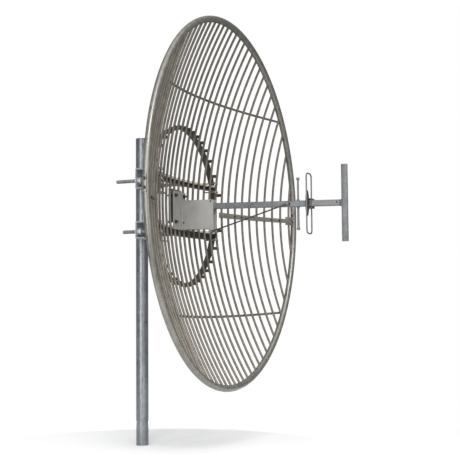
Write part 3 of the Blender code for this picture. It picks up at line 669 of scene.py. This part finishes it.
for place, side in (("left", -1), ("right", 1)):
    for where, outward, head in (("outer", side, SPLICE_HEAD), ("inner", -side, 0.0)):
        low, high = (Vector(corner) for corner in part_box(f"rim_splice_{where}_{place}"))
        if outward > 0:
            high.x -= head
        else:
            low.x += head
        face = high.x if outward > 0 else low.x
        settle(
            f"splice_plate_{where}_{place}", placed(plate(low, high, 0.0008)), rim_steel, "painted_frame",
            f"rim_splice_{where}_{place}",
        )
        splice_nuts = bmesh.new()
        for up in (-SPLICE_BOLT_UP, SPLICE_BOLT_UP):
            seat = (face, RIM_PLANE_Y - BOW, HUB_UP + up)
            put(splice_nuts, hex_nut(0.0082, 0.0057, 0.003), facing(seat, (outward, 0, 0)))
        settle(f"splice_nuts_{where}_{place}", splice_nuts, dark_steel, "dark_steel")


# The hub clips: small U-bolts that tie the ends of the hub channels to the grid. Each goes round
# a channel from behind, and its two legs end in nuts on short straps across a pair of rods.

CLIP_ACROSS = 0.3108
CLIP_LEG_UP = 0.0225
CLIP_RADIUS = 0.003
CLIP_BEND = 0.006
CLIP_TAIL = 0.012
BARS_BEHIND = 0.019
STRAP_HALF = 0.030
STRAP_HALF_TALL = 0.005
STRAP_THICK = 0.003

for name, side in (("upper", 1), ("lower", -1)):
    clips = bmesh.new()
    clip_nuts = bmesh.new()
    level = HUB_UP + side * BAR_UP
    low_leg = level - CLIP_LEG_UP
    high_leg = level + CLIP_LEG_UP
    for x in (-CLIP_ACROSS, CLIP_ACROSS):
        back = RIM_PLANE_Y + bowl_depth(x, BAR_UP) + ROD_RADIUS + BARS_BEHIND + BAR_DEEP + 0.004
        front = RIM_PLANE_Y + bowl_depth(x, BAR_UP + CLIP_LEG_UP) - ROD_RADIUS - 0.006
        path = [(x, front - CLIP_TAIL, low_leg), (x, back - CLIP_BEND, low_leg)]
        path += [(x, back, low_leg + CLIP_BEND), (x, back, high_leg - CLIP_BEND)]
        path += [(x, back - CLIP_BEND, high_leg), (x, front - CLIP_TAIL, high_leg)]
        put(clips, bent_bar(path, CLIP_RADIUS, 8))
        for leg in (low_leg, high_leg):
            put(clips, plate(
                (x - STRAP_HALF, front, leg - STRAP_HALF_TALL),
                (x + STRAP_HALF, front + STRAP_THICK, leg + STRAP_HALF_TALL), 0.0006,
            ))
            put(clip_nuts, hex_nut(0.0062, 0.005, CLIP_RADIUS), facing((x, front - 0.0002, leg), FORWARD))
    settle(f"{name}_hub_clip_nuts", clip_nuts, bright_zinc, "zinc_fittings")
    settle(f"{name}_hub_clips", clips, rod_steel, "painted_frame")


# The struts: flat galvanised bars inside the bowl from the hoop out to the rim. Bolts with clips
# behind them hold some rods, and a lug at the outer end is bolted up against the splice.

STRUT_THICK = 0.005
STRUT_UP = HUB_UP - 0.0135
STRUT_HALF_TALL = 0.0138
STRUT_TAPER = 0.0028
STRUT_CLEAR = 0.0003
STRUT_TOUCH_UP = 0.026
LUG_LONG = 0.040
LUG_HALF_TALL = 0.022
LUG_THICK = 0.005
LUG_BOLT = 0.0032
CLIP_BOLT = 0.003
CLIP_BOLTS = (0.474, 0.526, 0.733, 0.785)


def strut_slope(x):
    """How steeply the bowl comes forward along a strut."""
    return 2 * BOWL_DEPTH * x / BOWL_RADIUS**2


def strut_bend(x):
    """Where a strut's back lies, just clear of the open side of the rods."""
    clear = (ROD_RADIUS + STRUT_CLEAR) * math.sqrt(1 + strut_slope(x) ** 2)
    return RIM_PLANE_Y + bowl_depth(x, STRUT_TOUCH_UP) - clear


def strut_front(x):
    """Where a strut's open face lies."""
    return strut_bend(x) - STRUT_THICK


def face_of_strut(x):
    """The way that a strut's open face looks."""
    return Vector((-strut_slope(x), -1.0, 0.0)).normalized()


def bar_outline(thick, half):
    """A flat bar's outline, its back at 0."""
    return ((-thick, -half), (-thick, half), (0.0, half), (0.0, -half))


frame_steel = weathered_look("weathered_galvanised_frame_steel", "6c675f", "7d7870", "8e8981", 0.5)

for place, side in (("left", -1), ("right", 1)):
    low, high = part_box(f"strut_{place}")
    inner = min(abs(low[0]), abs(high[0]))
    outer = max(abs(low[0]), abs(high[0]))
    middle_up = Matrix.Translation((0, 0, STRUT_UP))
    strut = bmesh.new()
    bar = carried(bar_outline(STRUT_THICK, 1.0), spread(*sorted((side * inner, side * outer)), 20))
    for vert in bar.verts:
        vert.co.z *= STRUT_HALF_TALL - STRUT_TAPER * (abs(vert.co.x) - inner) / (outer - inner)
    put(strut, bent(rounded(bar, 0.0012), strut_bend), middle_up)
    lug_ends = sorted((side * (outer - LUG_LONG), side * outer))
    lug = carried(bar_outline(LUG_THICK, LUG_HALF_TALL), spread(*lug_ends, 4))
    put(strut, bent(rounded(lug, 0.001), strut_front), middle_up)
    bolts = bmesh.new()
    for x in (side * across for across in CLIP_BOLTS):
        out = face_of_strut(x)
        back = Vector((x, strut_bend(x), STRUT_UP))
        along = Vector((side * -out.y, side * out.x, 0.0))
        turn = Matrix((along, (-out).cross(along), -out)).transposed().to_4x4()
        strap = plate((-0.007, -0.006, -0.0015), (0.030, 0.006, 0.0015), 0.0005)
        put(strut, strap, Matrix.Translation(back - out * 0.0125) @ turn)
        face = back + out * (STRUT_THICK + HAIR_GAP)
        put(bolts, threaded(CLIP_BOLT, 0.026, 0.0014), facing(face - out * 0.0205, out))
        put(bolts, hex_head(0.0062, 0.0042), facing(face, out))
    settle(f"bowl_strut_{place}", strut, frame_steel, "painted_frame", f"strut_{place}")
    settle(f"strut_clip_bolts_{place}", bolts, dark_steel, "dark_steel")

    lug_bolts = bmesh.new()
    x = side * (outer - 0.0115)
    out = face_of_strut(x)
    for up in (-0.0125, 0.0125):
        seat = Vector((x, strut_front(x), STRUT_UP + up)) + out * (LUG_THICK + 0.0002)
        put(lug_bolts, washer(0.0072, 0.0012), facing(seat, out))
        put(lug_bolts, hex_nut(0.0066, 0.0052, LUG_BOLT), facing(seat + out * 0.0012, out))
        put(lug_bolts, threaded(LUG_BOLT, 0.016, 0.0015), facing(seat - out * 0.004, out))
    settle(f"strut_lug_bolts_{place}", lug_bolts, thread_zinc, "zinc_fittings")


# The feed bracket: 5 mm plate bolted to a second plate behind the rods, with two 3 mm cheeks
# welded on to grip the boom. Plain sheet steel under a thin, even, light grey coat.

FEED_DROP = 0.013
BOOM_DROOP = 0.024
DROOP_AHEAD = 0.162
FLANGE_LEFT = -0.112
FLANGE_RIGHT = 0.022
FLANGE_HALF_TALL = 0.093
FLANGE_DROP = 0.026
FLANGE_THICK = 0.005
CHEEK_INSIDE = 0.0143
CHEEK_THICK = 0.003
CHEEK_OUTSIDE = CHEEK_INSIDE + CHEEK_THICK
CHEEK_TOP = HUB_UP + 0.018
CHEEK_BOTTOM = HUB_UP - 0.125
CHEEK_SINK = 0.001
EAR_BOTTOM = HUB_UP - 0.150
EAR_WIDE = 0.022
BRACKET_BOLT = 0.004
BRACKET_BOLTS = ((-0.092, 0.046), (0.001, 0.048), (-0.092, -0.083), (0.001, -0.083))


def droop(part):
    """Lower a piece along the drooping boom, so that what is upright stays upright."""
    for vert in part.verts:
        vert.co.z += BOOM_DROOP * (vert.co.y - RIM_PLANE_Y + DROOP_AHEAD)
    return part


def coated_look(name, dark, middle, light, roughness):
    """A thin grey coat on sheet steel: very faint clouds, handling marks and a fine orange peel."""
    look, shader, place = start_look(name, middle, 0.15, roughness)
    clouds = add_node(look, "ShaderNodeTexNoise", {"Scale": 26.0, "Detail": 5.0}, {"Vector": place})
    marks = add_node(look, "ShaderNodeTexNoise", {"Scale": 300.0, "Detail": 2.0}, {"Vector": place})
    mixed = add_node(
        look, "ShaderNodeMix", {"data_type": "FLOAT", "Factor": 0.25},
        {2: clouds.outputs["Fac"], 3: marks.outputs["Fac"]},
    )
    peel = add_node(look, "ShaderNodeTexNoise", {"Scale": 800.0, "Detail": 1.0}, {"Vector": place})
    relief = peel.outputs["Fac"]
    finish_look(look, shader, mixed.outputs[0], 0.20, (dark, middle, light), relief, 0.12, 0.0002)
    return look


def cut_plate(corners, thick, corner_round, edge_round):
    """A plate cut to an outline of flat corners, from Z 0 up to its thickness, its corners rounded."""
    part = bmesh.new()
    face = part.faces.new([part.verts.new((*corner, 0.0)) for corner in corners])
    grown = bmesh.ops.extrude_face_region(part, geom=[face, *face.edges])
    bmesh.ops.translate(part, verts=made_by(grown, bmesh.types.BMVert), vec=(0, 0, thick))
    bmesh.ops.recalc_face_normals(part, faces=part.faces)
    uprights = [edge for edge in part.edges if run_of(edge, 2) > thick / 2]
    round_off(part, uprights, corner_round, 4)
    rims = [edge for edge in part.edges if edge.calc_face_angle(0) > 1.0]
    round_off(part, rims, edge_round, 1)
    return part


def flange_plate(half_tall):
    """One of the two bolted plates, as wide as the flange."""
    corners = (
        (FLANGE_LEFT, -half_tall), (FLANGE_RIGHT, -half_tall), (FLANGE_RIGHT, half_tall),
        (FLANGE_LEFT, half_tall),
    )
    return cut_plate(corners, FLANGE_THICK, 0.004, 0.0006)


def weld_run(piece, start, end, width):
    """A fillet weld laid as a row of overlapping beads between two points."""
    start = Vector(start)
    way = Vector(end) - start
    across = Matrix.Rotation(math.pi / 2, 4, "Y")
    count = max(2, round(way.length / (width * 0.8)))
    for step in range(count):
        middle = start + way * ((step + 0.5) / count)
        put(piece, weld_bead(width * 1.5, width), facing(middle, way) @ across)


def dome_screw(radius, tall):
    """A low round screw head with a dimple for the driver."""
    return turned(
        (
            (0, tall * 0.4), (radius * 0.3, tall * 0.4), (radius * 0.38, tall),
            (radius * 0.65, tall * 0.9), (radius * 0.95, tall * 0.45), (radius, 0), (0, 0),
        ),
        24,
    )


coat = coated_look("grey_coated_sheet_steel", "8b8a87", "93928f", "9b9a97", 0.5)
upright = Matrix.Rotation(math.pi / 2, 4, "X")
sideways = Matrix(((0, 0, 1, 0), (1, 0, 0, 0), (0, 1, 0, 0), (0, 0, 0, 1)))
bracket_low, bracket_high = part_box("feed_bracket")
cheek_front = bracket_low[1]
flange_back = bracket_high[1]
flange_front = flange_back - FLANGE_THICK

bracket = bmesh.new()
flange_place = Matrix.Translation((0, flange_back, HUB_UP - FLANGE_DROP)) @ upright
put(bracket, flange_plate(FLANGE_HALF_TALL), flange_place)
cheek_back = flange_front + CHEEK_SINK
ear_back = cheek_front + EAR_WIDE
far_cheek = (
    (cheek_front, CHEEK_BOTTOM), (cheek_back, CHEEK_BOTTOM), (cheek_back, CHEEK_TOP),
    (cheek_front, CHEEK_TOP),
)
near_cheek = (
    (cheek_front, EAR_BOTTOM), (ear_back, EAR_BOTTOM), (ear_back, CHEEK_BOTTOM), *far_cheek[1:],
)
cheeks = bmesh.new()
for outline, x in ((near_cheek, -CHEEK_OUTSIDE), (far_cheek, CHEEK_INSIDE)):
    put(cheeks, cut_plate(outline, CHEEK_THICK, 0.002, 0.0005), Matrix.Translation((x, 0, 0)) @ sideways)
for x in (-CHEEK_OUTSIDE, CHEEK_OUTSIDE):
    weld_run(cheeks, (x, flange_front, CHEEK_BOTTOM + 0.004), (x, flange_front, CHEEK_TOP - 0.004), 0.004)
put(bracket, droop(cheeks))
settle("bracket_and_cheeks", bracket, coat, "bracket", "feed_bracket")

back_low, back_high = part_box("feed_back_plate")
back_plate = flange_plate((back_high[2] - back_low[2]) / 2)
placed(back_plate, Matrix.Translation((0, back_high[1], HUB_UP)) @ upright)
settle("bracket_back_plate", back_plate, frame_steel, "painted_frame", "feed_back_plate")

fixings = bmesh.new()
shank = back_high[1] - flange_front + 0.030
for x, up in BRACKET_BOLTS:
    level = HUB_UP + up
    put(fixings, threaded(BRACKET_BOLT, shank, 0.0018), facing((x, flange_front - 0.015, level), BACKWARD))
    for seat, way in ((flange_front, -1), (back_high[1], 1)):
        put(fixings, washer(0.0095, 0.0016), facing((x, seat + way * HAIR_GAP, level), (0, way, 0)))
        nut = hex_nut(0.0082, 0.0068, BRACKET_BOLT)
        put(fixings, nut, facing((x, seat + way * 0.0018, level), (0, way, 0)))
settle("bracket_bolts", fixings, dark_steel, "dark_steel")

cheek_screws = bmesh.new()
for y, up in ((flange_front - 0.008, -0.092), (cheek_front + 0.014, 0.010)):
    for way in (-1, 1):
        seat = (way * CHEEK_OUTSIDE, y, HUB_UP + up)
        put(cheek_screws, dome_screw(0.0046, 0.0028), facing(seat, (way, 0, 0)))
settle("cheek_screws", droop(cheek_screws), dark_steel, "dark_steel")


# The boom: square aluminium tube of 28 mm, extruded and clear anodised, cut square at its tip.
# It droops a little from the bracket, and the feed elements on it still stand upright.

BOOM_HALF = 0.014
BOOM_WALL = 0.002
BOOM_CORNER = 0.0028
BOOM_TIP = 0.559


def on_boom(x, ahead, up):
    """A place on the level boom: across it, ahead of the rim plane and above its middle."""
    return Vector((x, RIM_PLANE_Y - ahead, HUB_UP - FEED_DROP + up))


def extruded_look(name, dark, middle, light, roughness):
    """Aluminium from the die: a dull anodic sheen, faint clouds and die lines, here 1.4 mm wide."""
    look, shader, place = start_look(name, middle, 0.55, roughness)
    along = add_node(look, "ShaderNodeMapping", {"Scale": (700.0, 9.0, 700.0)}, {"Vector": place})
    lines = add_node(
        look, "ShaderNodeTexNoise", {"Scale": 1.0, "Detail": 2.0}, {"Vector": along.outputs["Vector"]}
    )
    clouds = add_node(look, "ShaderNodeTexNoise", {"Scale": 30.0, "Detail": 4.0}, {"Vector": place})
    mixed = add_node(
        look, "ShaderNodeMix", {"data_type": "FLOAT", "Factor": 0.4},
        {2: clouds.outputs["Fac"], 3: lines.outputs["Fac"]},
    )
    relief = lines.outputs["Fac"]
    finish_look(look, shader, mixed.outputs[0], 0.18, (dark, middle, light), relief, 0.15, 0.0002)
    return look


def square_tube(half, wall, start, end):
    """A square tube along Y with rounded corners, open at both ends."""
    part = bmesh.new()
    turn = Matrix.Rotation(math.pi / 4, 4, "Z")
    bmesh.ops.create_circle(part, segments=4, radius=half * math.sqrt(2), matrix=turn)
    grown = bmesh.ops.extrude_edge_only(part, edges=list(part.edges))
    bmesh.ops.translate(part, verts=made_by(grown, bmesh.types.BMVert), vec=(0, 0, 1))
    bmesh.ops.recalc_face_normals(part, faces=part.faces)
    uprights = [edge for edge in part.edges if run_of(edge, 2) > 0.5]
    round_off(part, uprights, BOOM_CORNER, 4)
    bmesh.ops.recalc_face_normals(part, faces=part.faces)
    bmesh.ops.solidify(part, geom=list(part.faces), thickness=wall)
    way = Vector(end) - Vector(start)
    stretch = Matrix.Diagonal((1, 1, way.length, 1))
    bmesh.ops.transform(part, matrix=facing(start, way) @ stretch, verts=part.verts)
    return part


feed_alloy = extruded_look("clear_anodised_aluminium", "646567", "6e6f71", "787a7c", 0.48)

boom_start = (0, flange_front - 0.008, HUB_UP - FEED_DROP)
boom = placed(square_tube(BOOM_HALF, BOOM_WALL, boom_start, on_boom(0, BOOM_TIP, 0)))
settle("boom_tube", droop(boom), feed_alloy, "feed_metal", "feed_boom")


# The reflector bar: flat aluminium bar past the boom's tip, welded to a tongue that closes the
# tube and is held in it by a screw from the side.

REFLECTOR_AHEAD = 0.580
REFLECTOR_HALF_TALL = 0.180
REFLECTOR_HALF_DEEP = 0.0145
REFLECTOR_HALF_THICK = 0.0065
TONGUE_HALF_TALL = 0.0128
TONGUE_OVERLAP = 0.004
TIP_GAP = 0.0003

reflector = bmesh.new()
joint = REFLECTOR_AHEAD - REFLECTOR_HALF_DEEP
put(reflector, plate(
    on_boom(-REFLECTOR_HALF_THICK, REFLECTOR_AHEAD + REFLECTOR_HALF_DEEP, -REFLECTOR_HALF_TALL),
    on_boom(REFLECTOR_HALF_THICK, joint, REFLECTOR_HALF_TALL), 0.0012,
))
put(reflector, plate(
    on_boom(-REFLECTOR_HALF_THICK, joint + TONGUE_OVERLAP, -TONGUE_HALF_TALL),
    on_boom(REFLECTOR_HALF_THICK, BOOM_TIP + TIP_GAP, TONGUE_HALF_TALL), 0.0006,
))
for up in (-0.0145, 0.0145):
    near_end = on_boom(-REFLECTOR_HALF_THICK, joint - 0.0015, up)
    weld_run(reflector, near_end, on_boom(REFLECTOR_HALF_THICK, joint - 0.0015, up), 0.006)
settle("reflector_and_tongue", droop(reflector), feed_alloy, "feed_metal", "reflector_bar")

tip_screws = bmesh.new()
for way in (-1, 1):
    seat = on_boom(way * BOOM_HALF, BOOM_TIP - 0.014, 0.002)
    put(tip_screws, dome_screw(0.0038, 0.0022), facing(seat, (way, 0, 0)))
settle("boom_tip_screws", droop(tip_screws), dark_steel, "dark_steel")


# The director: a round aluminium rod through the boom, its lower half sleeved, held by a flat
# collar on each side of the tube and closed by a turned cap at each end.

DIRECTOR_AHEAD = 0.351
DIRECTOR_HALF = 0.123
SLEEVE_RADIUS = 0.0055
DIRECTOR_RADIUS = 0.0045
CAP_RADIUS = 0.008
CAP_OVERLAP = 0.0110

director = bmesh.new()
put(director, turned(
    (
        (0, -DIRECTOR_HALF), (SLEEVE_RADIUS, -DIRECTOR_HALF), (SLEEVE_RADIUS, -0.0185),
        (DIRECTOR_RADIUS, -0.018), (DIRECTOR_RADIUS, DIRECTOR_HALF), (0, DIRECTOR_HALF),
    ),
    24,
), Matrix.Translation(on_boom(0, DIRECTOR_AHEAD, 0)))
boom_collar = (
    (0, 0), (0.0064, 0), (0.0076, 0.0008), (0.0076, 0.0050), (0.0070, 0.0064), (0.0058, 0.0072),
    (0, 0.0072),
)
end_cap = (
    (0, 0), (0.0058, 0), (0.0072, 0.0012), (CAP_RADIUS, 0.0036), (CAP_RADIUS, 0.0084),
    (0.0070, 0.0110), (0.0045, 0.0127), (0, 0.0130),
)
for side in (-1, 1):
    for outline, up in ((boom_collar, BOOM_HALF + TIP_GAP), (end_cap, DIRECTOR_HALF - CAP_OVERLAP)):
        put(director, turned(outline, 28), facing(on_boom(0, DIRECTOR_AHEAD, side * up), (0, 0, side)))
settle("director_and_caps", droop(director), feed_alloy, "feed_metal", "director_rod")


# The folded dipole: one aluminium rod of 7 mm bent to an upright loop round the boom. The far
# leg is clipped in a moulded collar, the near leg runs through a tapered black insulator.

DIPOLE_AHEAD = 0.405
DIPOLE_HALF_WIDE = 0.035
DIPOLE_RADIUS = 0.0035
DIPOLE_HALF_TALL = 0.145 - DIPOLE_RADIUS
DIPOLE_CORNER = 0.020
DIPOLE_INSIDE = DIPOLE_HALF_WIDE - DIPOLE_RADIUS - 0.0004
INSULATOR_EDGE = 0.0008
COLLAR_AHEAD = 0.409
COLLAR_HALF_DEEP = 0.0135
COLLAR_HALF_TALL = 0.023
COLLAR_WALL = 0.004


def closed_ring(path, radius, sides):
    """A round bar carried along a closed path in one plane."""
    part = bent_bar(path + [path[0]], radius, sides)
    caps = [face for face in part.faces if len(face.verts) > 4]
    bmesh.ops.delete(part, geom=caps, context="FACES_ONLY")
    bmesh.ops.remove_doubles(part, verts=part.verts, dist=1e-5)
    return part


def moulded_look(name, colours, roughness, scale, detail, depth):
    """Moulded plastic: an even colour with a faint mottle, and the fine grain of the mould."""
    dark, middle, light = colours
    look, shader, place = start_look(name, middle, 0.0, roughness)
    noise = add_node(look, "ShaderNodeTexNoise", {"Scale": scale, "Detail": detail}, {"Vector": place})
    mottle = noise.outputs["Fac"]
    finish_look(look, shader, mottle, 0.15, (dark, light), mottle, 0.2, depth)
    return look


path = [on_boom(DIPOLE_HALF_WIDE, DIPOLE_AHEAD, 0.0)]
for side_x, side_z, quarter in ((1, 1, 0), (-1, 1, 1), (-1, -1, 2), (1, -1, 3)):
    for turn in spread(quarter * math.pi / 2, (quarter + 1) * math.pi / 2, 8):
        x = side_x * (DIPOLE_HALF_WIDE - DIPOLE_CORNER) + DIPOLE_CORNER * math.cos(turn)
        up = side_z * (DIPOLE_HALF_TALL - DIPOLE_CORNER) + DIPOLE_CORNER * math.sin(turn)
        path.append(on_boom(x, DIPOLE_AHEAD, up))
loop = placed(closed_ring(path, DIPOLE_RADIUS, 16))
settle("folded_dipole_loop", droop(loop), feed_alloy, "feed_metal", "folded_dipole")

black_nylon = moulded_look("moulded_black_nylon", ("161617", "1d1d1f", "29292b"), 0.5, 600.0, 2.0, 0.0002)
inner_x = -(BOOM_HALF + 0.0047)
insulator = cut_plate(
    (
        (-0.0025, -0.060), (0.0025, -0.060), (0.0070, -0.030), (0.0070, 0.030), (0.0025, 0.060),
        (-0.0025, 0.060), (-0.0070, 0.030), (-0.0070, -0.030),
    ),
    inner_x + DIPOLE_INSIDE, INSULATOR_EDGE, INSULATOR_EDGE,
)
placed(insulator, Matrix.Translation(on_boom(-DIPOLE_INSIDE, DIPOLE_AHEAD, 0)) @ sideways)
settle("near_leg_insulator", droop(insulator), black_nylon, "black_plastic", "dipole_insulator")

old_plastic = moulded_look(
    "weathered_moulded_plastic", ("403e3c", "4c4a48", "5a5855"), 0.6, 90.0, 4.0, 0.0003
)
collar = bmesh.new()
hole = BOOM_HALF + TIP_GAP
near_side = -hole - COLLAR_WALL
wall_up = COLLAR_HALF_TALL - 0.001
for low_x, high_x, low_up, high_up in (
    (near_side, DIPOLE_INSIDE, hole, COLLAR_HALF_TALL),
    (near_side, DIPOLE_INSIDE, -COLLAR_HALF_TALL, -hole),
    (near_side, -hole, -wall_up, wall_up),
    (hole, DIPOLE_INSIDE, -wall_up, wall_up),
):
    put(collar, plate(
        on_boom(low_x, COLLAR_AHEAD + COLLAR_HALF_DEEP, low_up),
        on_boom(high_x, COLLAR_AHEAD - COLLAR_HALF_DEEP, high_up), 0.0018,
    ))
settle("dipole_collar", droop(collar), old_plastic, "clamp_plastic", "dipole_clamp")

collar_screws = bmesh.new()
for up in (-0.0185, 0.0185):
    seat = on_boom(near_side, COLLAR_AHEAD, up)
    put(collar_screws, dome_screw(0.0032, 0.0018), facing(seat, (-1, 0, 0)))
settle("collar_screws", droop(collar_screws), bright_zinc, "zinc_fittings")


# The stay: a 7 mm steel rod, blackened, from the ear under the bracket up to the boom's side.
# Both ends are flattened to eyes, each held by a bolt with a nut.

STAY_AHEAD = 0.307
STAY_RADIUS = 0.0035
STAY_GAP = 0.0003
STAY_BOLT = 0.0034
EYE_RADIUS = 0.009
EYE_HOLE = 0.0036
EYE_HALF_THICK = 0.0028
EYE_EDGE = 0.001

stay_x = -CHEEK_OUTSIDE - STAY_GAP - STAY_RADIUS
ear_y = cheek_front + EAR_WIDE / 2
ear_sunk = BOOM_DROOP * (RIM_PLANE_Y - ear_y - DROOP_AHEAD)
low_end = Vector((stay_x, ear_y, EAR_BOTTOM + EAR_WIDE / 2 - ear_sunk))
high_sunk = BOOM_DROOP * (STAY_AHEAD - DROOP_AHEAD)
high_end = Vector((stay_x, RIM_PLANE_Y - STAY_AHEAD, HUB_UP - FEED_DROP - high_sunk))
way = (high_end - low_end).normalized()
stay = bmesh.new()
path = [low_end + way * 0.004, low_end + way * 0.020, high_end - way * 0.020, high_end - way * 0.004]
put(stay, bent_bar(path, STAY_RADIUS, 14))
eye = (
    (EYE_HOLE, -EYE_HALF_THICK), (EYE_RADIUS - EYE_EDGE, -EYE_HALF_THICK),
    (EYE_RADIUS, -EYE_HALF_THICK + EYE_EDGE), (EYE_RADIUS, EYE_HALF_THICK - EYE_EDGE),
    (EYE_RADIUS - EYE_EDGE, EYE_HALF_THICK), (EYE_HOLE, EYE_HALF_THICK), (EYE_HOLE, -EYE_HALF_THICK),
)
for end in (low_end, high_end):
    put(stay, turned(eye, 28), facing(end, (1, 0, 0)))
settle("stay_rod", stay, dark_steel, "dark_steel", "boom_stay")

stay_bolts = bmesh.new()
for end, reach in ((low_end, -CHEEK_INSIDE), (high_end, -BOOM_HALF)):
    shank = threaded(STAY_BOLT, reach - stay_x + 0.010, 0.0015)
    put(stay_bolts, shank, facing(end - Vector((0.009, 0, 0)), (1, 0, 0)))
    nut = hex_nut(0.0072, 0.0052, STAY_BOLT)
    put(stay_bolts, nut, facing(end - Vector((0.0030, 0, 0)), (-1, 0, 0)))
settle("stay_bolts", stay_bolts, thread_zinc, "zinc_fittings")


# The studio: a pale floor that fades into a white surround, which lights the object only dimly.
# Two soft suns and three tall strip soft boxes light it, and the boxes give the tubes their long
# highlights. The camera stands low with a long lens.

FLOOR_RADIUS = 1.6
FADE_START = 0.9
FADE_END = 1.55
DISH_MIDDLE = Vector((0, -0.3, 1.1))
STRIP_TALL = 3.4
CAMERA_PLACE = (-5.2128, -2.7000, 0.5455)
CAMERA_YAW = 1.1675
CAMERA_PITCH = 0.0867
CAMERA_ROLL = -0.0083
FOCAL_PIXELS = 1181.18
PHOTO_PIXELS = 460
SENSOR_WIDTH = 36.0

floor_look, floor_shader, place = start_look("pale_studio_floor", "f2f2f1", 0.0, 0.9)
distance = add_node(floor_look, "ShaderNodeVectorMath", {"operation": "LENGTH"}, {0: place})
fade = add_node(
    floor_look, "ShaderNodeMapRange", {"From Min": FADE_START, "From Max": FADE_END},
    {"Value": distance.outputs["Value"]},
)
floor_look.node_tree.links.new(fade.outputs["Result"], floor_shader.inputs["Emission Strength"])
floor_shader.inputs["Emission Color"].default_value = (1.0, 1.0, 1.0, 1.0)
floor_shape = bmesh.new()
bmesh.ops.create_circle(floor_shape, cap_ends=True, segments=96, radius=FLOOR_RADIUS)
floor_mesh = bpy.data.meshes.new("studio_floor")
floor_shape.to_mesh(floor_mesh)
floor_shape.free()
floor_mesh.materials.append(floor_look)
floor = show("studio_floor", floor_mesh)

world = bpy.data.worlds.new("studio_surround")
world.use_nodes = True
seen = world.node_tree.nodes["Background"]
seen.inputs["Color"].default_value = (1.0, 1.0, 1.0, 1.0)
lit = add_node(world, "ShaderNodeBackground", {"Color": (0.96, 0.98, 1.0, 1.0), "Strength": 0.35})
ray = add_node(world, "ShaderNodeLightPath")
either = add_node(world, "ShaderNodeMixShader", links={
    "Fac": ray.outputs["Is Camera Ray"], 1: lit.outputs["Background"], 2: seen.outputs["Background"],
})
surface = world.node_tree.nodes["World Output"].inputs["Surface"]
world.node_tree.links.new(either.outputs["Shader"], surface)
bpy.context.scene.world = world
bpy.context.scene.view_settings.view_transform = "Standard"


def hang_lamp(name, kind, energy, place, way, settings):
    """A studio lamp at a place, turned to shine along a direction."""
    lamp = bpy.data.lights.new(name, kind)
    lamp.energy = energy
    for key, value in settings.items():
        setattr(lamp, key, value)
    made = show(name, lamp)
    made.location = place
    made.rotation_euler = Vector(way).to_track_quat("-Z", "Y").to_euler()


for name, way, wide_angle, strength in (
    ("key_sun", (0.75, 0.42, -0.70), 24, 2.1),
    ("overhead_sun", (0.1, 0.2, -1.0), 60, 1.0),
):
    hang_lamp(name, "SUN", strength, (-2.0, -2.0, 4.0), way, {"angle": math.radians(wide_angle)})
for name, place, wide, watts in (
    ("front_strip_soft_box", (-2.6, -3.6, 1.2), 0.9, 38),
    ("side_strip_soft_box", (-3.7, 0.1, 1.1), 0.5, 50),
    ("rim_strip_soft_box", (-4.5, -1.5, 1.5), 0.7, 34),
):
    strip_size = {"shape": "RECTANGLE", "size": wide, "size_y": STRIP_TALL}
    hang_lamp(name, "AREA", watts, place, DISH_MIDDLE - Vector(place), strip_size)

forward = Vector((
    math.sin(CAMERA_YAW) * math.cos(CAMERA_PITCH), math.cos(CAMERA_YAW) * math.cos(CAMERA_PITCH),
    math.sin(CAMERA_PITCH),
))
level_right = Vector((math.cos(CAMERA_YAW), -math.sin(CAMERA_YAW), 0))
level_up = level_right.cross(forward)
right = level_right * math.cos(CAMERA_ROLL) + level_up * math.sin(CAMERA_ROLL)
up = level_up * math.cos(CAMERA_ROLL) - level_right * math.sin(CAMERA_ROLL)
lens = bpy.data.cameras.new("photo_camera")
lens.sensor_width = SENSOR_WIDTH
lens.lens = SENSOR_WIDTH * FOCAL_PIXELS / PHOTO_PIXELS
lens.clip_end = 200.0
camera = show("photo_camera", lens)
pose = Matrix((right, up, -forward)).transposed().to_4x4()
pose.translation = CAMERA_PLACE
camera.matrix_world = pose
bpy.context.scene.camera = camera
